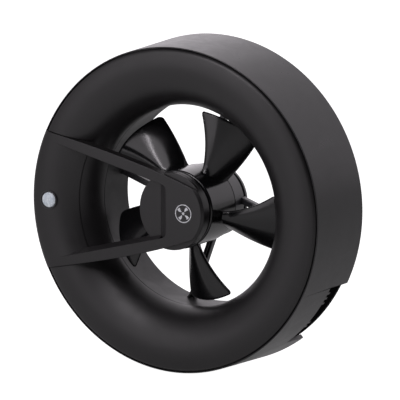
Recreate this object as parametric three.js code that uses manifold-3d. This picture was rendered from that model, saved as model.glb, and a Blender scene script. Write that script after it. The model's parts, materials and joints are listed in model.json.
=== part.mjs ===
// Round wall fan over the mouth of a 125 mm duct: a moulded body with a bellmouth front,
// an arm that carries a presence sensor and the centre cap, and a five-bladed axial impeller
// on an external-rotor motor. Millimetres. The duct axis is Y, the front faces -Y, Z is up,
// and y = 0 is the wall. Angles are in degrees about the axis, seen from the front, from +X towards +Z.
import * as THREE from "three";
import { mergeVertices } from "three/addons/utils/BufferGeometryUtils.js";
import Module from "manifold-3d";

const wasm = await Module();
wasm.setup();

// Clearances
const GAP = 0.3;
const RUNNING_GAP = 0.06;
const THROAT_GAP = 0.1;

// Facets round a full turn
const LARGE_SIDES = 48;
const MEDIUM_SIDES = 40;
const SMALL_SIDES = 16;
const SCREW_SIDES = 8;

// Bellmouth ring: an elliptical section round the axis, with its crest nearest the room
const CREST_RADIUS = 83;
const BELL_CENTRE_Y = -26.5;
const BELL_WIDE = 25.2;
const BELL_DEEP = 23.8;
const RING_WALL = 2.6;
const RING_EDGE_RADIUS = 91.2;
const RING_EDGE_ROUND = 2.6;
const SKIRT_RADIUS = 89.4;
const SKIRT_WALL = 2;
const SKIRT_REAR_Y = -41;

// Outer shell
const SHELL_FRONT_RADIUS = 92.2;
const SHELL_REAR_RADIUS = 95.4;
const SHELL_FRONT_Y = -48.3;
const SHELL_SHELF_Y = -46;
const SHELL_WALL = 2.4;
const SHELL_LIP = 0.6;
const NOTCH_FROM = -52;
const NOTCH_TO = -25;
const NOTCH_DEPTH = 18.8;
const NOTCH_TOOTH_ANGLES = [-42.6, -40.6, -31.7, -29.6, -27.5];
const NOTCH_TOOTH_HALF_ANGLE = 0.45;
const NOTCH_TOOTH_HEIGHT = 2.2;
const LUG_ANGLES = [20, 110, 200, 290];
const LUG_SCREW_RADIUS = 88.5;
const LUG_RADII = [85, 92.4];
const LUG_FRONT_Y = -14;
const LUG_HALF_WIDTH = 5;

// Back plate on the wall
const PLATE_THICKNESS = 3;
const PLATE_RADIUS = 92.6;
const PLATE_HOLE_RADIUS = 62.6;
const WALL_HOLE_ANGLES = [60, 120, 240, 300];
const WALL_HOLE_CIRCLE = 82;
const WALL_HOLE_RADIUS = 2.5;
const GROMMET_ANGLE = -8;
const GROMMET_CIRCLE = 78;
const GROMMET_NECK_RADIUS = 7.7;
const GROMMET_BORE_RADIUS = 3.4;
const GROMMET_FLANGE_RADIUS = 9.4;
const GROMMET_FRONT_Y = -4.8;

// Duct tube with its short collar, in line with the bellmouth's throat
const THROAT_RADIUS = CREST_RADIUS - BELL_WIDE;
const COLLAR_BORE_RADIUS = 60.4;
const TUBE_WALL = 1.8;
const TUBE_FRONT_Y = BELL_CENTRE_Y + THROAT_GAP;
const COLLAR_REAR_Y = 4;
const FLANGE_RADIUS = 68;
const FLANGE_FRONT_Y = -5.8;
const FLANGE_REAR_Y = -PLATE_THICKNESS - GAP;
const TUBE_SCREW_ANGLES = [30, 150, 270];
const TUBE_SCREW_CIRCLE = 65.3;

// Arm, from the ring to the centre
const ARM_PROUD = 0.5;
const ARM_FRONT_Y = BELL_CENTRE_Y - BELL_DEEP - ARM_PROUD;
const ARM_REAR_Y = -44.5;
const ARM_LAYER = 1.5;
const ARM_END_RADIUS = 92.4;
const ARM_INNER_RADIUS = 64;
const ARM_END_REAR_Y = SHELL_FRONT_Y - GAP;
const ARM_BAR_END_RADIUS = 84;
const ARM_OUTER_POINT = [-83.7, 40.2];
const ARM_BEND_POINT = [-18.2, 27.8];
const ARM_HUB_POINT = [17.3, 13.6];
const WINDOW_SLOPE = 0.257;
const WINDOW_HALF_AT_AXIS = 14;
const WINDOW_END_X = -2;
const WINDOW_FOOT_X = -7.8;
const WINDOW_END_HALF = 15;
const WINDOW_END_LAP = 0.5;
const WINDOW_CORNER = 3;
const ARM_BOSS_ANGLES = [160, 200];
const ARM_BOSS_RADIUS = 3;
const ARM_BOSS_REAR_Y = -41;

// Centre cap
const CAP_RADIUS = 22;
const CAP_FACE_RADIUS = 20.5;
const CAP_BEVEL_DEPTH = 1.4;
const CAP_FRONT_Y = -46;
const CAP_REAR_Y = -43.2;
const CAP_CROWN_Y = -50.4;
const CAP_SHOULDER_Y = -48.6;
const CAP_WALL = 1.4;
const CAP_SCREW_Z = [9, -9];
const CAP_SCREW_X = 8;

// Presence sensor, near the crest of the ring
const SENSOR_CIRCLE = 80.3;
const SENSOR_HOLE_RADIUS = 5.9;
const LENS_RADIUS = 4.65;
const LENS_FRONT_Y = -52;
const LENS_REAR_Y = -48.6;
const LENS_DOME_DEPTH = 2;
const ELEMENT_RADIUS = 3.9;
const SENSOR_BOARD_FRONT_Y = -43.7;
const SENSOR_BOARD_REAR_Y = -42.1;
const SENSOR_BOARD_REACH = [-5.5, 3.5];
const SENSOR_BOARD_HALF_WIDTH = 7;
const SENSOR_PLUG_REAR_Y = -30;
const SENSOR_PLUG_HALF_DEPTH = 2.4;
const SENSOR_PLUG_HALF_WIDTH = 4;

// Impeller
const BLADE_COUNT = 5;
const FIRST_BLADE_ANGLE = 65;
const TIP_RADIUS = 55;
const HUB_RADIUS = 22.5;
const HUB_WALL = 1.6;
const HUB_FRONT_Y = -41.4;
const HUB_REAR_Y = -14.9;
const HUB_EDGE_ROUND = 1.2;
const ROOT_THICKNESS = 2.2;
const TIP_THICKNESS = 1.4;
const BLADE_CORNER = 2.5;
const TIP_FRONT_Y = -25.6;
const TIP_REAR_Y = -13.8;
const ROOT_FRONT_Y = -26.6;
const ROOT_REAR_Y = -15.9;
const TIP_SPAN = 36.7;
const ROOT_SPAN = 29.9;
const ROOT_LAG = 11.5;
const BLADE_CAMBER = -4.4;

// Motor
const BARREL_FRONT_RADIUS = 22.2;
const BARREL_REAR_RADIUS = 21.3;
const BARREL_FRONT_Y = -14.2;
const BARREL_REAR_Y = -0.6;
const BARREL_WALL = 1.6;
const BARREL_BASE_Y = -2.4;
const REAR_CAP_Y = 3.4;
const REAR_CAP_WALL = 1.5;
const REAR_CAP_EDGE = [[16.5, 0], [19.2, 0.8], [20.7, 2.1]];
const REAR_CAP_HOLLOW = [[18.4, 2], [16, REAR_CAP_WALL]];
const STRUT_COUNT = 4;
const FIRST_STRUT_ANGLE = 95;
const STRUT_SWEEP = -17;
const STRUT_WIDTH = 3.7;
const STRUT_FRONT_Y = -5.6;
const STRUT_REAR_Y = -1.2;
const SHAFT_RADIUS = 2;
const BEARING_RADIUS = 4.1;
const BEARING_LENGTH = 4;
const BEARING_TUBE_BORE = 4.3;
const BEARING_TUBE_RADIUS = 5.6;
const BEARING_TUBE_FRONT_Y = -36.8;
const REAR_BEARING_Y = -9;
const SHAFT_FRONT_Y = -39;
const SHAFT_REAR_Y = -2.6;
const CLIP_RADIUS = 3.3;
const CLIP_FRONT_Y = -4.3;
const CLIP_REAR_Y = -3.5;
const CLIP_MOUTH_ANGLE = 50;
const CORE_BORE_RADIUS = 5.9;
const CORE_HUB_RADIUS = 8.6;
const CORE_RADIUS = 16;
const CORE_FRONT_Y = -33;
const CORE_REAR_Y = -21;
const POLE_COUNT = 4;
const POLE_WIDTH = 5;
const POLE_RADII = [7.5, 14.5];
const SHOE_BORE_RADIUS = 13.8;
const SHOE_HALF_ANGLE = 36;
const COIL_RADII = [9.2, 12.2];
const COIL_WIDTH = 2.8;
const COIL_OVERHANG = 2.6;
const MOTOR_BOARD_RADII = [6.4, 18];
const MOTOR_BOARD_FRONT_Y = -13.2;
const MOTOR_BOARD_REAR_Y = -11.6;
const MAGNET_BORE_RADIUS = 16.5;
const MAGNET_RADIUS = 19;
const MAGNET_FRONT_Y = -36;
const MAGNET_REAR_Y = -18;
const ROTOR_CUP_RADIUS = 20.5;
const ROTOR_CUP_FRONT_Y = -39.1;
const ROTOR_CUP_REAR_Y = -16.6;
const ROTOR_CUP_WALL = 1.2;

// Control board, round the lower half of the tube
const BOARD_FRONT_Y = -9.6;
const BOARD_REAR_Y = -8;
const BOARD_BORE_RADIUS = 66;
const BOARD_RADIUS = 76.5;
const BOARD_MIDDLE = 71.2;
const BOARD_FROM = -188;
const BOARD_TO = -24;
const BOARD_SCREW_ANGLES = [-55, -150];
const BOARD_POST_RADIUS = 2.8;
const BOARD_TAB_RADIUS = 88;
const BOARD_TAB_ANGLES = [-185, -175];
const TERMINAL_ANGLE = -38;
const TERMINAL_COUNT = 3;
const TERMINAL_PITCH = 7;
const TERMINAL_END = 0.6;
const TERMINAL_RADII = [66.4, 76.2];
const TERMINAL_FRONT_Y = -20;
const WELL_RADII = [68.6, 73.8];
const WELL_FLOOR_Y = -15;
const WELL_HALF_WIDTH = 2.6;
const MOUTH_RADII = [71, 77];
const MOUTH_DEPTHS = [-14.6, -11];
const MOUTH_HALF_WIDTH = 1.9;
const TERMINAL_SCREW = { head: 2.1, top: -18.6, tip: -15.3 };
const LEAD_RADIUS = 0.9;
const LEAD_Y = STRUT_FRONT_Y - LEAD_RADIUS - GAP;
const LEAD_HOLE_DEPTHS = [LEAD_Y - 1.4, LEAD_Y + 1.2];
const BARREL_LEAD_HOLE = { reach: [18, 24], sides: [-1.5, 1.5] };
const TUBE_LEAD_HOLE = { reach: [50, 66], sides: [-2.8, 2.2] };
const MODULE_ANGLE = -70;
const MODULE_RADII = [66.6, 75.8];
const MODULE_FRONT_Y = -23;
const MODULE_HALF_WIDTH = 10;
const CAPACITOR_ANGLE = -88;
const CAPACITOR_RADIUS = 4.6;
const CAPACITOR_FRONT_Y = -24;
const PLUG_ANGLE = -104;
const PLUG_RADII = [70.2, 75.6];
const PLUG_FRONT_Y = -15.6;
const PLUG_HALF_WIDTH = 3.4;
const SOCKET_FRONT_Y = -33;
const SOCKET_WALL = 0.7;
const CLAMP_CIRCLE = 84.5;
const CLAMP_SCREW_Z = 8;
const CLAMP_POST_FRONT_Y = -5.7;
const CLAMP_POST_HALF = [1.8, 2.4];
const CLAMP_DEPTHS = [-8.8, -6];
const CLAMP_HALF = [1.9, 10.6];
const SADDLE_DEPTHS = [-7.4, -5.5];
const SADDLE_HALF = [3, 4.2];

// Screws: head and shank radii, and where along the axis the head's top, its seat and the tip lie
const PLATE_SEAT_Y = -1.8;
const SCREWS = {
  shell: { head: 2.9, shank: 1.3, top: -0.2, seat: PLATE_SEAT_Y, tip: -12 },
  tube: { head: 2.5, shank: 1.2, top: FLANGE_FRONT_Y - 1.6, seat: FLANGE_FRONT_Y - 0.1, tip: -0.4 },
  board: { head: 2.4, shank: 1.1, top: BOARD_FRONT_Y - 1.6, seat: BOARD_FRONT_Y - 0.1, tip: -4 },
  clamp: { head: 2.2, shank: 1.1, top: -10.5, seat: -9, tip: -3.4 },
  arm: { head: 4.2, shank: 1.1, top: ARM_BOSS_REAR_Y + 1.9, seat: ARM_BOSS_REAR_Y + 0.2, tip: -46.8 },
  cap: { head: 2.4, shank: 1.1, top: CAP_REAR_Y - 0.2, seat: CAP_FRONT_Y + CAP_WALL + 0.1, tip: -48.7 },
};
const SCREW_HOLE = 1.5;
const SLOT_HALF_WIDTH = 0.4;
const SLOT_DEPTH = 0.6;

const radians = (angle) => (angle * Math.PI) / 180;
const degrees = (angle) => (angle * 180) / Math.PI;
const mix = (from, to, share) => from + (to - from) * share;
const around = (half, middle = 0) => [middle - half, middle + half];

// ---- solids ----

// A closed three.js geometry as a solid that can be cut and joined.
function solid(geometry) {
  const source = geometry.index ? geometry.toNonIndexed() : geometry;
  const bare = new THREE.BufferGeometry();
  bare.setAttribute("position", source.getAttribute("position"));
  const merged = mergeVertices(bare, 1e-4);
  const corners = merged.index.array;
  const faces = [];
  for (let i = 0; i < corners.length; i += 3) {
    const [a, b, c] = corners.slice(i, i + 3);
    if (a !== b && b !== c && c !== a) faces.push([a, b, c]);
  }
  const vertProperties = merged.attributes.position.array;
  const build = (list) =>
    new wasm.Manifold(new wasm.Mesh({ numProp: 3, vertProperties, triVerts: new Uint32Array(list.flat()) }));
  const made = build(faces);
  return made.volume() > 0 ? made : build(faces.map(([a, b, c]) => [a, c, b]));
}

function geometryOf(shape) {
  const mesh = shape.getMesh();
  const geometry = new THREE.BufferGeometry();
  geometry.setAttribute("position", new THREE.BufferAttribute(mesh.vertProperties, 3));
  geometry.setIndex(new THREE.BufferAttribute(mesh.triVerts, 1));
  geometry.computeVertexNormals();
  return geometry;
}

const join = (shapes) => shapes.reduce((whole, shape) => whole.add(shape));
const cut = (shape, tools) => tools.reduce((rest, tool) => rest.subtract(tool), shape);

// A closed outline of [radius, y] points turned about the duct axis.
function turned(outline, sides = LARGE_SIDES) {
  const [first, last] = [outline[0], outline.at(-1)];
  const onAxis = first[0] === 0 && last[0] === 0;
  const points = onAxis ? outline : [...outline, first];
  return solid(new THREE.LatheGeometry(points.map(([r, y]) => new THREE.Vector2(r, y)), sides));
}

// A ring of rectangular section.
function ring(bore, radius, front, rear, sides = LARGE_SIDES) {
  return turned([[bore, front], [radius, front], [radius, rear], [bore, rear]], sides);
}

// An XZ shape given depth along the axis, from front to rear.
function prism(shape, front, rear, curveSegments = 8) {
  const settings = { depth: rear - front, bevelEnabled: false, curveSegments };
  return solid(new THREE.ExtrudeGeometry(shape, settings).rotateX(Math.PI / 2).translate(0, rear, 0));
}

// A piece of a ring between two angles, with a facet about every step.
function sector(bore, radius, from, to, front, rear, step = 6) {
  const shape = new THREE.Shape();
  shape.absarc(0, 0, radius, radians(from), radians(to), false);
  shape.absarc(0, 0, bore, radians(to), radians(from), true);
  return prism(shape, front, rear, Math.max(2, Math.ceil((to - from) / step)));
}

// A disc or post along the axis direction, at a radius and angle.
function post(radius, front, rear, circle = 0, angle = 0, sides = SCREW_SIDES) {
  const geometry = new THREE.CylinderGeometry(radius, radius, rear - front, sides);
  const [x, z] = [circle * Math.cos(radians(angle)), circle * Math.sin(radians(angle))];
  return solid(geometry.translate(x, (front + rear) / 2, z));
}

// A box given by its radial, axial and tangential ranges, turned to an angle.
function block([near, far], [front, rear], [low, high], angle = 0) {
  const geometry = new THREE.BoxGeometry(far - near, rear - front, high - low);
  geometry.translate((near + far) / 2, (front + rear) / 2, (low + high) / 2);
  return solid(geometry.rotateY(-radians(angle)));
}

// A slotted screw along the axis, from its entry in SCREWS.
function screw({ head, shank, top, seat, tip }, circle, angle) {
  const span = (a, b) => [Math.min(a, b), Math.max(a, b)];
  const inward = Math.sign(seat - top);
  const headDisc = post(head, ...span(top, seat), circle, angle);
  const shankRod = post(shank, ...span(top, tip), circle, angle);
  const slotDepths = span(top - inward, top + inward * SLOT_DEPTH);
  const slot = block(around(2 * head, circle), slotDepths, around(SLOT_HALF_WIDTH), angle);
  return cut(headDisc.add(shankRod), [slot]);
}

// ---- bellmouth and arm surfaces ----

// Points along the bellmouth's elliptical section, grown by offset. 0 degrees is the throat, 90 the crest.
function bellArc(offset, from, to, steps) {
  return Array.from({ length: steps + 1 }, (_, i) => {
    const t = radians(mix(from, to, i / steps));
    return [
      CREST_RADIUS - (BELL_WIDE + offset) * Math.cos(t),
      BELL_CENTRE_Y - (BELL_DEEP + offset) * Math.sin(t),
    ];
  });
}

// A rounded corner from a point on the section, turning towards the wall.
function edgeRound([r, y], slope, radius, steps) {
  const centre = [r - radius * Math.sin(slope), y + radius * Math.cos(slope)];
  return Array.from({ length: steps }, (_, i) => {
    const t = mix(slope, Math.PI / 2, (i + 1) / steps);
    return [centre[0] + radius * Math.sin(t), centre[1] - radius * Math.cos(t)];
  });
}

// The section's front surface from an angle on the ellipse out to its rounded edge at a radius.
function bellFront(offset, from, edgeRadius, steps) {
  const slopeAt = (t) => Math.atan2(-(BELL_DEEP + offset) * Math.cos(t), (BELL_WIDE + offset) * Math.sin(t));
  let end = 90;
  let reach = 0;
  while (reach < edgeRadius) {
    end += 0.1;
    const slope = slopeAt(radians(end));
    reach = bellArc(offset, end, end, 1)[0][0] + RING_EDGE_ROUND * (1 - Math.sin(slope));
  }
  const arc = bellArc(offset, from, end, steps);
  return [...arc, ...edgeRound(arc.at(-1), slopeAt(radians(end)), RING_EDGE_ROUND, 3)];
}

// The arm's outline from the front: two curved edges that narrow towards the centre.
function armOutline(grow) {
  const [x0, z0] = [-Math.hypot(...ARM_OUTER_POINT) - 2, ARM_OUTER_POINT[1] + 2.5];
  const edge = (sign) => new THREE.QuadraticBezierCurve(
    new THREE.Vector2(ARM_OUTER_POINT[0], sign * (ARM_OUTER_POINT[1] + grow)),
    new THREE.Vector2(ARM_BEND_POINT[0], sign * (ARM_BEND_POINT[1] + grow)),
    new THREE.Vector2(ARM_HUB_POINT[0], sign * (ARM_HUB_POINT[1] + grow)),
  ).getPoints(8);
  return new THREE.Shape([
    new THREE.Vector2(x0, -z0 - grow),
    ...edge(-1),
    new THREE.Vector2(CAP_RADIUS, -ARM_HUB_POINT[1] + 2),
    new THREE.Vector2(CAP_RADIUS, ARM_HUB_POINT[1] - 2),
    ...edge(1).reverse(),
    new THREE.Vector2(x0, z0 + grow),
  ]);
}

// The arm's window: straight sides that open towards the ring and rounded corners at the centre.
function windowShape() {
  const halfAt = (x) => WINDOW_HALF_AT_AXIS - WINDOW_SLOPE * x;
  const farX = -ARM_END_RADIUS - 4;
  const corner = (sign) => {
    const [x, z] = [WINDOW_END_X, sign * halfAt(WINDOW_END_X)];
    return new THREE.QuadraticBezierCurve(
      new THREE.Vector2(x - WINDOW_CORNER, sign * halfAt(x - WINDOW_CORNER)),
      new THREE.Vector2(x, z),
      new THREE.Vector2(x, z - sign * WINDOW_CORNER),
    ).getPoints(4);
  };
  return new THREE.Shape([
    new THREE.Vector2(farX, halfAt(farX)),
    new THREE.Vector2(farX, -halfAt(farX)),
    ...corner(-1),
    ...corner(1).reverse(),
  ]);
}

// The sloped end of the window, from the arm's face down to the centre cap.
function windowEnd() {
  const foot = CAP_FRONT_Y - GAP;
  const section = new THREE.Shape([
    new THREE.Vector2(WINDOW_FOOT_X, foot),
    new THREE.Vector2(WINDOW_END_X + WINDOW_END_LAP, foot),
    new THREE.Vector2(WINDOW_END_X + WINDOW_END_LAP, ARM_FRONT_Y),
    new THREE.Vector2(WINDOW_END_X, ARM_FRONT_Y),
  ]);
  const settings = { depth: 2 * WINDOW_END_HALF, bevelEnabled: false };
  return solid(new THREE.ExtrudeGeometry(section, settings).translate(0, 0, -WINDOW_END_HALF));
}

// The thin layer of the arm that lies on the ring, grown by a clearance.
function armLayer(grow) {
  const section = [
    ...bellFront(ARM_PROUD + grow, 30, ARM_END_RADIUS + grow, 8),
    ...bellArc(ARM_PROUD - ARM_LAYER - grow, 30, 103, 7).reverse(),
  ];
  const zone = prism(armOutline(grow), ARM_FRONT_Y - 5, BELL_CENTRE_Y, 8);
  const inside = post(ARM_INNER_RADIUS - grow, ARM_FRONT_Y - 6, BELL_CENTRE_Y + 1, 0, 0, LARGE_SIDES);
  const behind = ring(CREST_RADIUS + 3, ARM_END_RADIUS + 10, ARM_END_REAR_Y + grow, BELL_CENTRE_Y);
  return cut(turned(section).intersect(zone), [inside, behind]);
}

// ---- front panel ----

function frontRing() {
  const hidden = bellArc(-RING_WALL, 0, 101, 6).reverse();
  const body = turned([
    ...bellFront(0, 0, RING_EDGE_RADIUS, 10),
    [RING_EDGE_RADIUS, SHELL_SHELF_Y - GAP],
    [SKIRT_RADIUS, SHELL_SHELF_Y - GAP],
    [SKIRT_RADIUS, SKIRT_REAR_Y],
    [SKIRT_RADIUS - SKIRT_WALL, SKIRT_REAR_Y],
    ...hidden,
  ]);
  const bossHoles = ARM_BOSS_ANGLES.map((angle) =>
    post(ARM_BOSS_RADIUS + GAP, ARM_FRONT_Y, SKIRT_REAR_Y, CREST_RADIUS, angle, SMALL_SIDES));
  const sensorHole = post(SENSOR_HOLE_RADIUS, ARM_FRONT_Y, SKIRT_REAR_Y, SENSOR_CIRCLE, 180, SMALL_SIDES);
  return cut(body, [armLayer(GAP), ...bossHoles, sensorHole]);
}

function armFrame() {
  const arm = prism(armOutline(0), ARM_FRONT_Y, ARM_REAR_Y, 8);
  const capTop = turned([
    [0, CAP_CROWN_Y],
    [CAP_RADIUS, CAP_SHOULDER_Y],
    [CAP_RADIUS, CAP_FRONT_Y - GAP],
    [0, CAP_FRONT_Y - GAP],
  ], MEDIUM_SIDES);
  const ringBody = turned([...bellArc(GAP, 0, 120, 14), [CREST_RADIUS, BELL_CENTRE_Y]]);
  const outside = ring(ARM_BAR_END_RADIUS, ARM_END_RADIUS + 20, ARM_FRONT_Y - 1, ARM_REAR_Y + 1);
  const capSeat = post(CAP_RADIUS + GAP, CAP_FRONT_Y - GAP, CAP_REAR_Y + 1, 0, 0, MEDIUM_SIDES);
  const capEnvelope = turned([
    [0, ARM_FRONT_Y - 2],
    [CAP_FACE_RADIUS, ARM_FRONT_Y - 2],
    [CAP_FACE_RADIUS, ARM_FRONT_Y],
    [CAP_RADIUS, ARM_FRONT_Y + CAP_BEVEL_DEPTH],
    [CAP_RADIUS, ARM_REAR_Y + 2],
    [0, ARM_REAR_Y + 2],
  ], MEDIUM_SIDES);
  const beyondCap = cut(block([0, 40], [ARM_FRONT_Y - 1, ARM_REAR_Y + 1], [-40, 40]), [capEnvelope]);
  const window = prism(windowShape(), ARM_FRONT_Y - 1, ARM_REAR_Y + 3);
  const topAndArm = cut(arm.add(capTop), [window]).add(windowEnd());
  const bars = cut(topAndArm, [ringBody, outside, capSeat, beyondCap]);
  const bosses = ARM_BOSS_ANGLES.map((angle) =>
    post(ARM_BOSS_RADIUS, ARM_FRONT_Y + ARM_LAYER / 2, ARM_BOSS_REAR_Y, CREST_RADIUS, angle, SMALL_SIDES));
  const screwHoles = ARM_BOSS_ANGLES.map((angle) =>
    post(SCREW_HOLE, ARM_FRONT_Y + ARM_LAYER + 1, ARM_BOSS_REAR_Y + 1, CREST_RADIUS, angle));
  const capHoles = capScrewPlaces().map((spot) =>
    post(SCREW_HOLE, CAP_FRONT_Y - 3, CAP_FRONT_Y + 1, ...spot));
  const sensorHole = post(SENSOR_HOLE_RADIUS, ARM_FRONT_Y - 1, SKIRT_REAR_Y, SENSOR_CIRCLE, 180, SMALL_SIDES);
  return cut(join([armLayer(0), bars, ...bosses]), [...screwHoles, ...capHoles, sensorHole]);
}

function centreCap() {
  const shell = turned([
    [0, CAP_FRONT_Y],
    [CAP_RADIUS, CAP_FRONT_Y],
    [CAP_RADIUS, CAP_REAR_Y],
    [CAP_RADIUS - CAP_WALL, CAP_REAR_Y],
    [CAP_RADIUS - CAP_WALL, CAP_FRONT_Y + CAP_WALL],
    [0, CAP_FRONT_Y + CAP_WALL],
  ], MEDIUM_SIDES);
  return cut(shell, capScrewPlaces().map((spot) => post(SCREW_HOLE, CAP_FRONT_Y - 1, CAP_REAR_Y, ...spot)));
}

// Radius and angle of the two screws that hold the centre cap to the arm.
function capScrewPlaces() {
  return CAP_SCREW_Z.map((z) => [Math.hypot(CAP_SCREW_X, z), degrees(Math.atan2(z, CAP_SCREW_X))]);
}

function sensorLens() {
  const dome = Array.from({ length: 5 }, (_, i) => {
    const t = radians((i * 90) / 4);
    return [LENS_RADIUS * Math.sin(t), LENS_FRONT_Y + LENS_DOME_DEPTH * (1 - Math.cos(t))];
  });
  return turned([...dome, [LENS_RADIUS, LENS_REAR_Y], [0, LENS_REAR_Y]], SMALL_SIDES);
}

const sensorBezel = () =>
  ring(LENS_RADIUS + GAP, SENSOR_HOLE_RADIUS - GAP, ARM_FRONT_Y - GAP, LENS_REAR_Y, SMALL_SIDES);
const sensorElement = () =>
  post(ELEMENT_RADIUS, LENS_REAR_Y + GAP, SENSOR_BOARD_FRONT_Y - GAP, 0, 0, SMALL_SIDES);
const sensorBoard = () =>
  block(SENSOR_BOARD_REACH, [SENSOR_BOARD_FRONT_Y, SENSOR_BOARD_REAR_Y], around(SENSOR_BOARD_HALF_WIDTH));
const sensorPlug = () =>
  block(around(SENSOR_PLUG_HALF_DEPTH), [SENSOR_BOARD_REAR_Y + GAP, SENSOR_PLUG_REAR_Y],
    around(SENSOR_PLUG_HALF_WIDTH));

function sensorSocket() {
  const [depth, width] = [SENSOR_PLUG_HALF_DEPTH + GAP, SENSOR_PLUG_HALF_WIDTH + GAP];
  const box = (wall, front, rear) => block(around(depth + wall), [front, rear], around(width + wall));
  const body = box(SOCKET_WALL, SOCKET_FRONT_Y, BOARD_FRONT_Y - GAP);
  return cut(body, [box(0, SOCKET_FRONT_Y - 1, SENSOR_PLUG_REAR_Y + GAP)]);
}

// ---- housing ----

function outerShell() {
  const body = turned([
    [SHELL_FRONT_RADIUS - SHELL_LIP, SHELL_FRONT_Y],
    [SHELL_FRONT_RADIUS, SHELL_FRONT_Y],
    [SHELL_REAR_RADIUS, 0],
    [SHELL_REAR_RADIUS - SHELL_WALL, 0],
    [SHELL_FRONT_RADIUS - SHELL_WALL, SHELL_SHELF_Y],
    [SHELL_FRONT_RADIUS - SHELL_LIP, SHELL_SHELF_Y],
  ]);
  const lugDepths = [LUG_FRONT_Y, FLANGE_REAR_Y];
  const lugs = LUG_ANGLES.map((angle) => block(LUG_RADII, lugDepths, around(LUG_HALF_WIDTH), angle));
  const holes = LUG_ANGLES.map((angle) => post(SCREW_HOLE, LUG_FRONT_Y - 1, 0, LUG_SCREW_RADIUS, angle));
  const notchFront = -NOTCH_DEPTH;
  const teeth = NOTCH_TOOTH_ANGLES.map((angle) => {
    const [from, to] = around(NOTCH_TOOTH_HALF_ANGLE, angle);
    return sector(86, 102, from, to, notchFront - 1, notchFront + NOTCH_TOOTH_HEIGHT);
  });
  const notch = cut(sector(88, 100, NOTCH_FROM, NOTCH_TO, notchFront, 1), teeth);
  return cut(join([body, ...lugs]), [...holes, notch]);
}

function backPlate() {
  const plate = ring(PLATE_HOLE_RADIUS, PLATE_RADIUS, -PLATE_THICKNESS, 0);
  const boardPosts = BOARD_SCREW_ANGLES.map((angle) =>
    post(BOARD_POST_RADIUS, BOARD_REAR_Y + GAP, -PLATE_THICKNESS + 1, BOARD_MIDDLE, angle));
  const clampDepths = [CLAMP_POST_FRONT_Y, -PLATE_THICKNESS + 1];
  const [postDepth, postWidth] = CLAMP_POST_HALF;
  const clampPosts = around(CLAMP_SCREW_Z).map((z) =>
    block(around(postDepth, CLAMP_CIRCLE), clampDepths, around(postWidth, z), TERMINAL_ANGLE));
  const wallHoles = WALL_HOLE_ANGLES.map((angle) => post(WALL_HOLE_RADIUS, -4, 1, WALL_HOLE_CIRCLE, angle));
  const headSeats = LUG_ANGLES.map((angle) =>
    post(SCREWS.shell.head + GAP, PLATE_SEAT_Y - 0.2, 1, LUG_SCREW_RADIUS, angle));
  const screwPlaces = [
    ...LUG_ANGLES.map((angle) => [LUG_SCREW_RADIUS, angle]),
    ...TUBE_SCREW_ANGLES.map((angle) => [TUBE_SCREW_CIRCLE, angle]),
    ...BOARD_SCREW_ANGLES.map((angle) => [BOARD_MIDDLE, angle]),
    ...clampScrewPlaces(),
  ];
  const screwHoles = screwPlaces.map((spot) => post(SCREW_HOLE, -9, 1, ...spot));
  const cableHole = post(GROMMET_NECK_RADIUS + GAP, -4, 1, GROMMET_CIRCLE, GROMMET_ANGLE, SMALL_SIDES);
  return cut(join([plate, ...boardPosts, ...clampPosts]),
    [...wallHoles, ...headSeats, ...screwHoles, cableHole]);
}

function ductTube() {
  const body = turned([
    [THROAT_RADIUS, TUBE_FRONT_Y],
    [THROAT_RADIUS + TUBE_WALL, TUBE_FRONT_Y],
    [tubeBore(FLANGE_FRONT_Y) + TUBE_WALL, FLANGE_FRONT_Y],
    [FLANGE_RADIUS, FLANGE_FRONT_Y],
    [FLANGE_RADIUS, FLANGE_REAR_Y],
    [COLLAR_BORE_RADIUS + TUBE_WALL, FLANGE_REAR_Y],
    [COLLAR_BORE_RADIUS + TUBE_WALL, COLLAR_REAR_Y],
    [COLLAR_BORE_RADIUS, COLLAR_REAR_Y],
  ]);
  const screwHoles = TUBE_SCREW_ANGLES.map((angle) => post(SCREW_HOLE, -7, 0, TUBE_SCREW_CIRCLE, angle));
  const wallAngle = FIRST_STRUT_ANGLE + STRUT_SWEEP - 180;
  const leadHole = block(TUBE_LEAD_HOLE.reach, LEAD_HOLE_DEPTHS, TUBE_LEAD_HOLE.sides, wallAngle);
  return cut(body, [...screwHoles, leadHole]);
}

// The tube's inner radius at a depth.
const tubeBore = (y) =>
  mix(THROAT_RADIUS, COLLAR_BORE_RADIUS, (y - TUBE_FRONT_Y) / (COLLAR_REAR_Y - TUBE_FRONT_Y));

// The two ends of a strut's centre line, in XZ.
function strutEnds(angle) {
  const reach = (radius, at) => new THREE.Vector2(radius, 0).rotateAround(new THREE.Vector2(), radians(at));
  return [reach(BARREL_REAR_RADIUS - 0.8, angle), reach(COLLAR_BORE_RADIUS + 1, angle + STRUT_SWEEP)];
}

function strut(angle) {
  const [near, far] = strutEnds(angle);
  const along = far.clone().sub(near);
  const geometry = new THREE.BoxGeometry(along.length(), STRUT_REAR_Y - STRUT_FRONT_Y, STRUT_WIDTH);
  geometry.rotateY(-along.angle());
  geometry.translate((near.x + far.x) / 2, (STRUT_FRONT_Y + STRUT_REAR_Y) / 2, (near.y + far.y) / 2);
  return solid(geometry);
}

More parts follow.
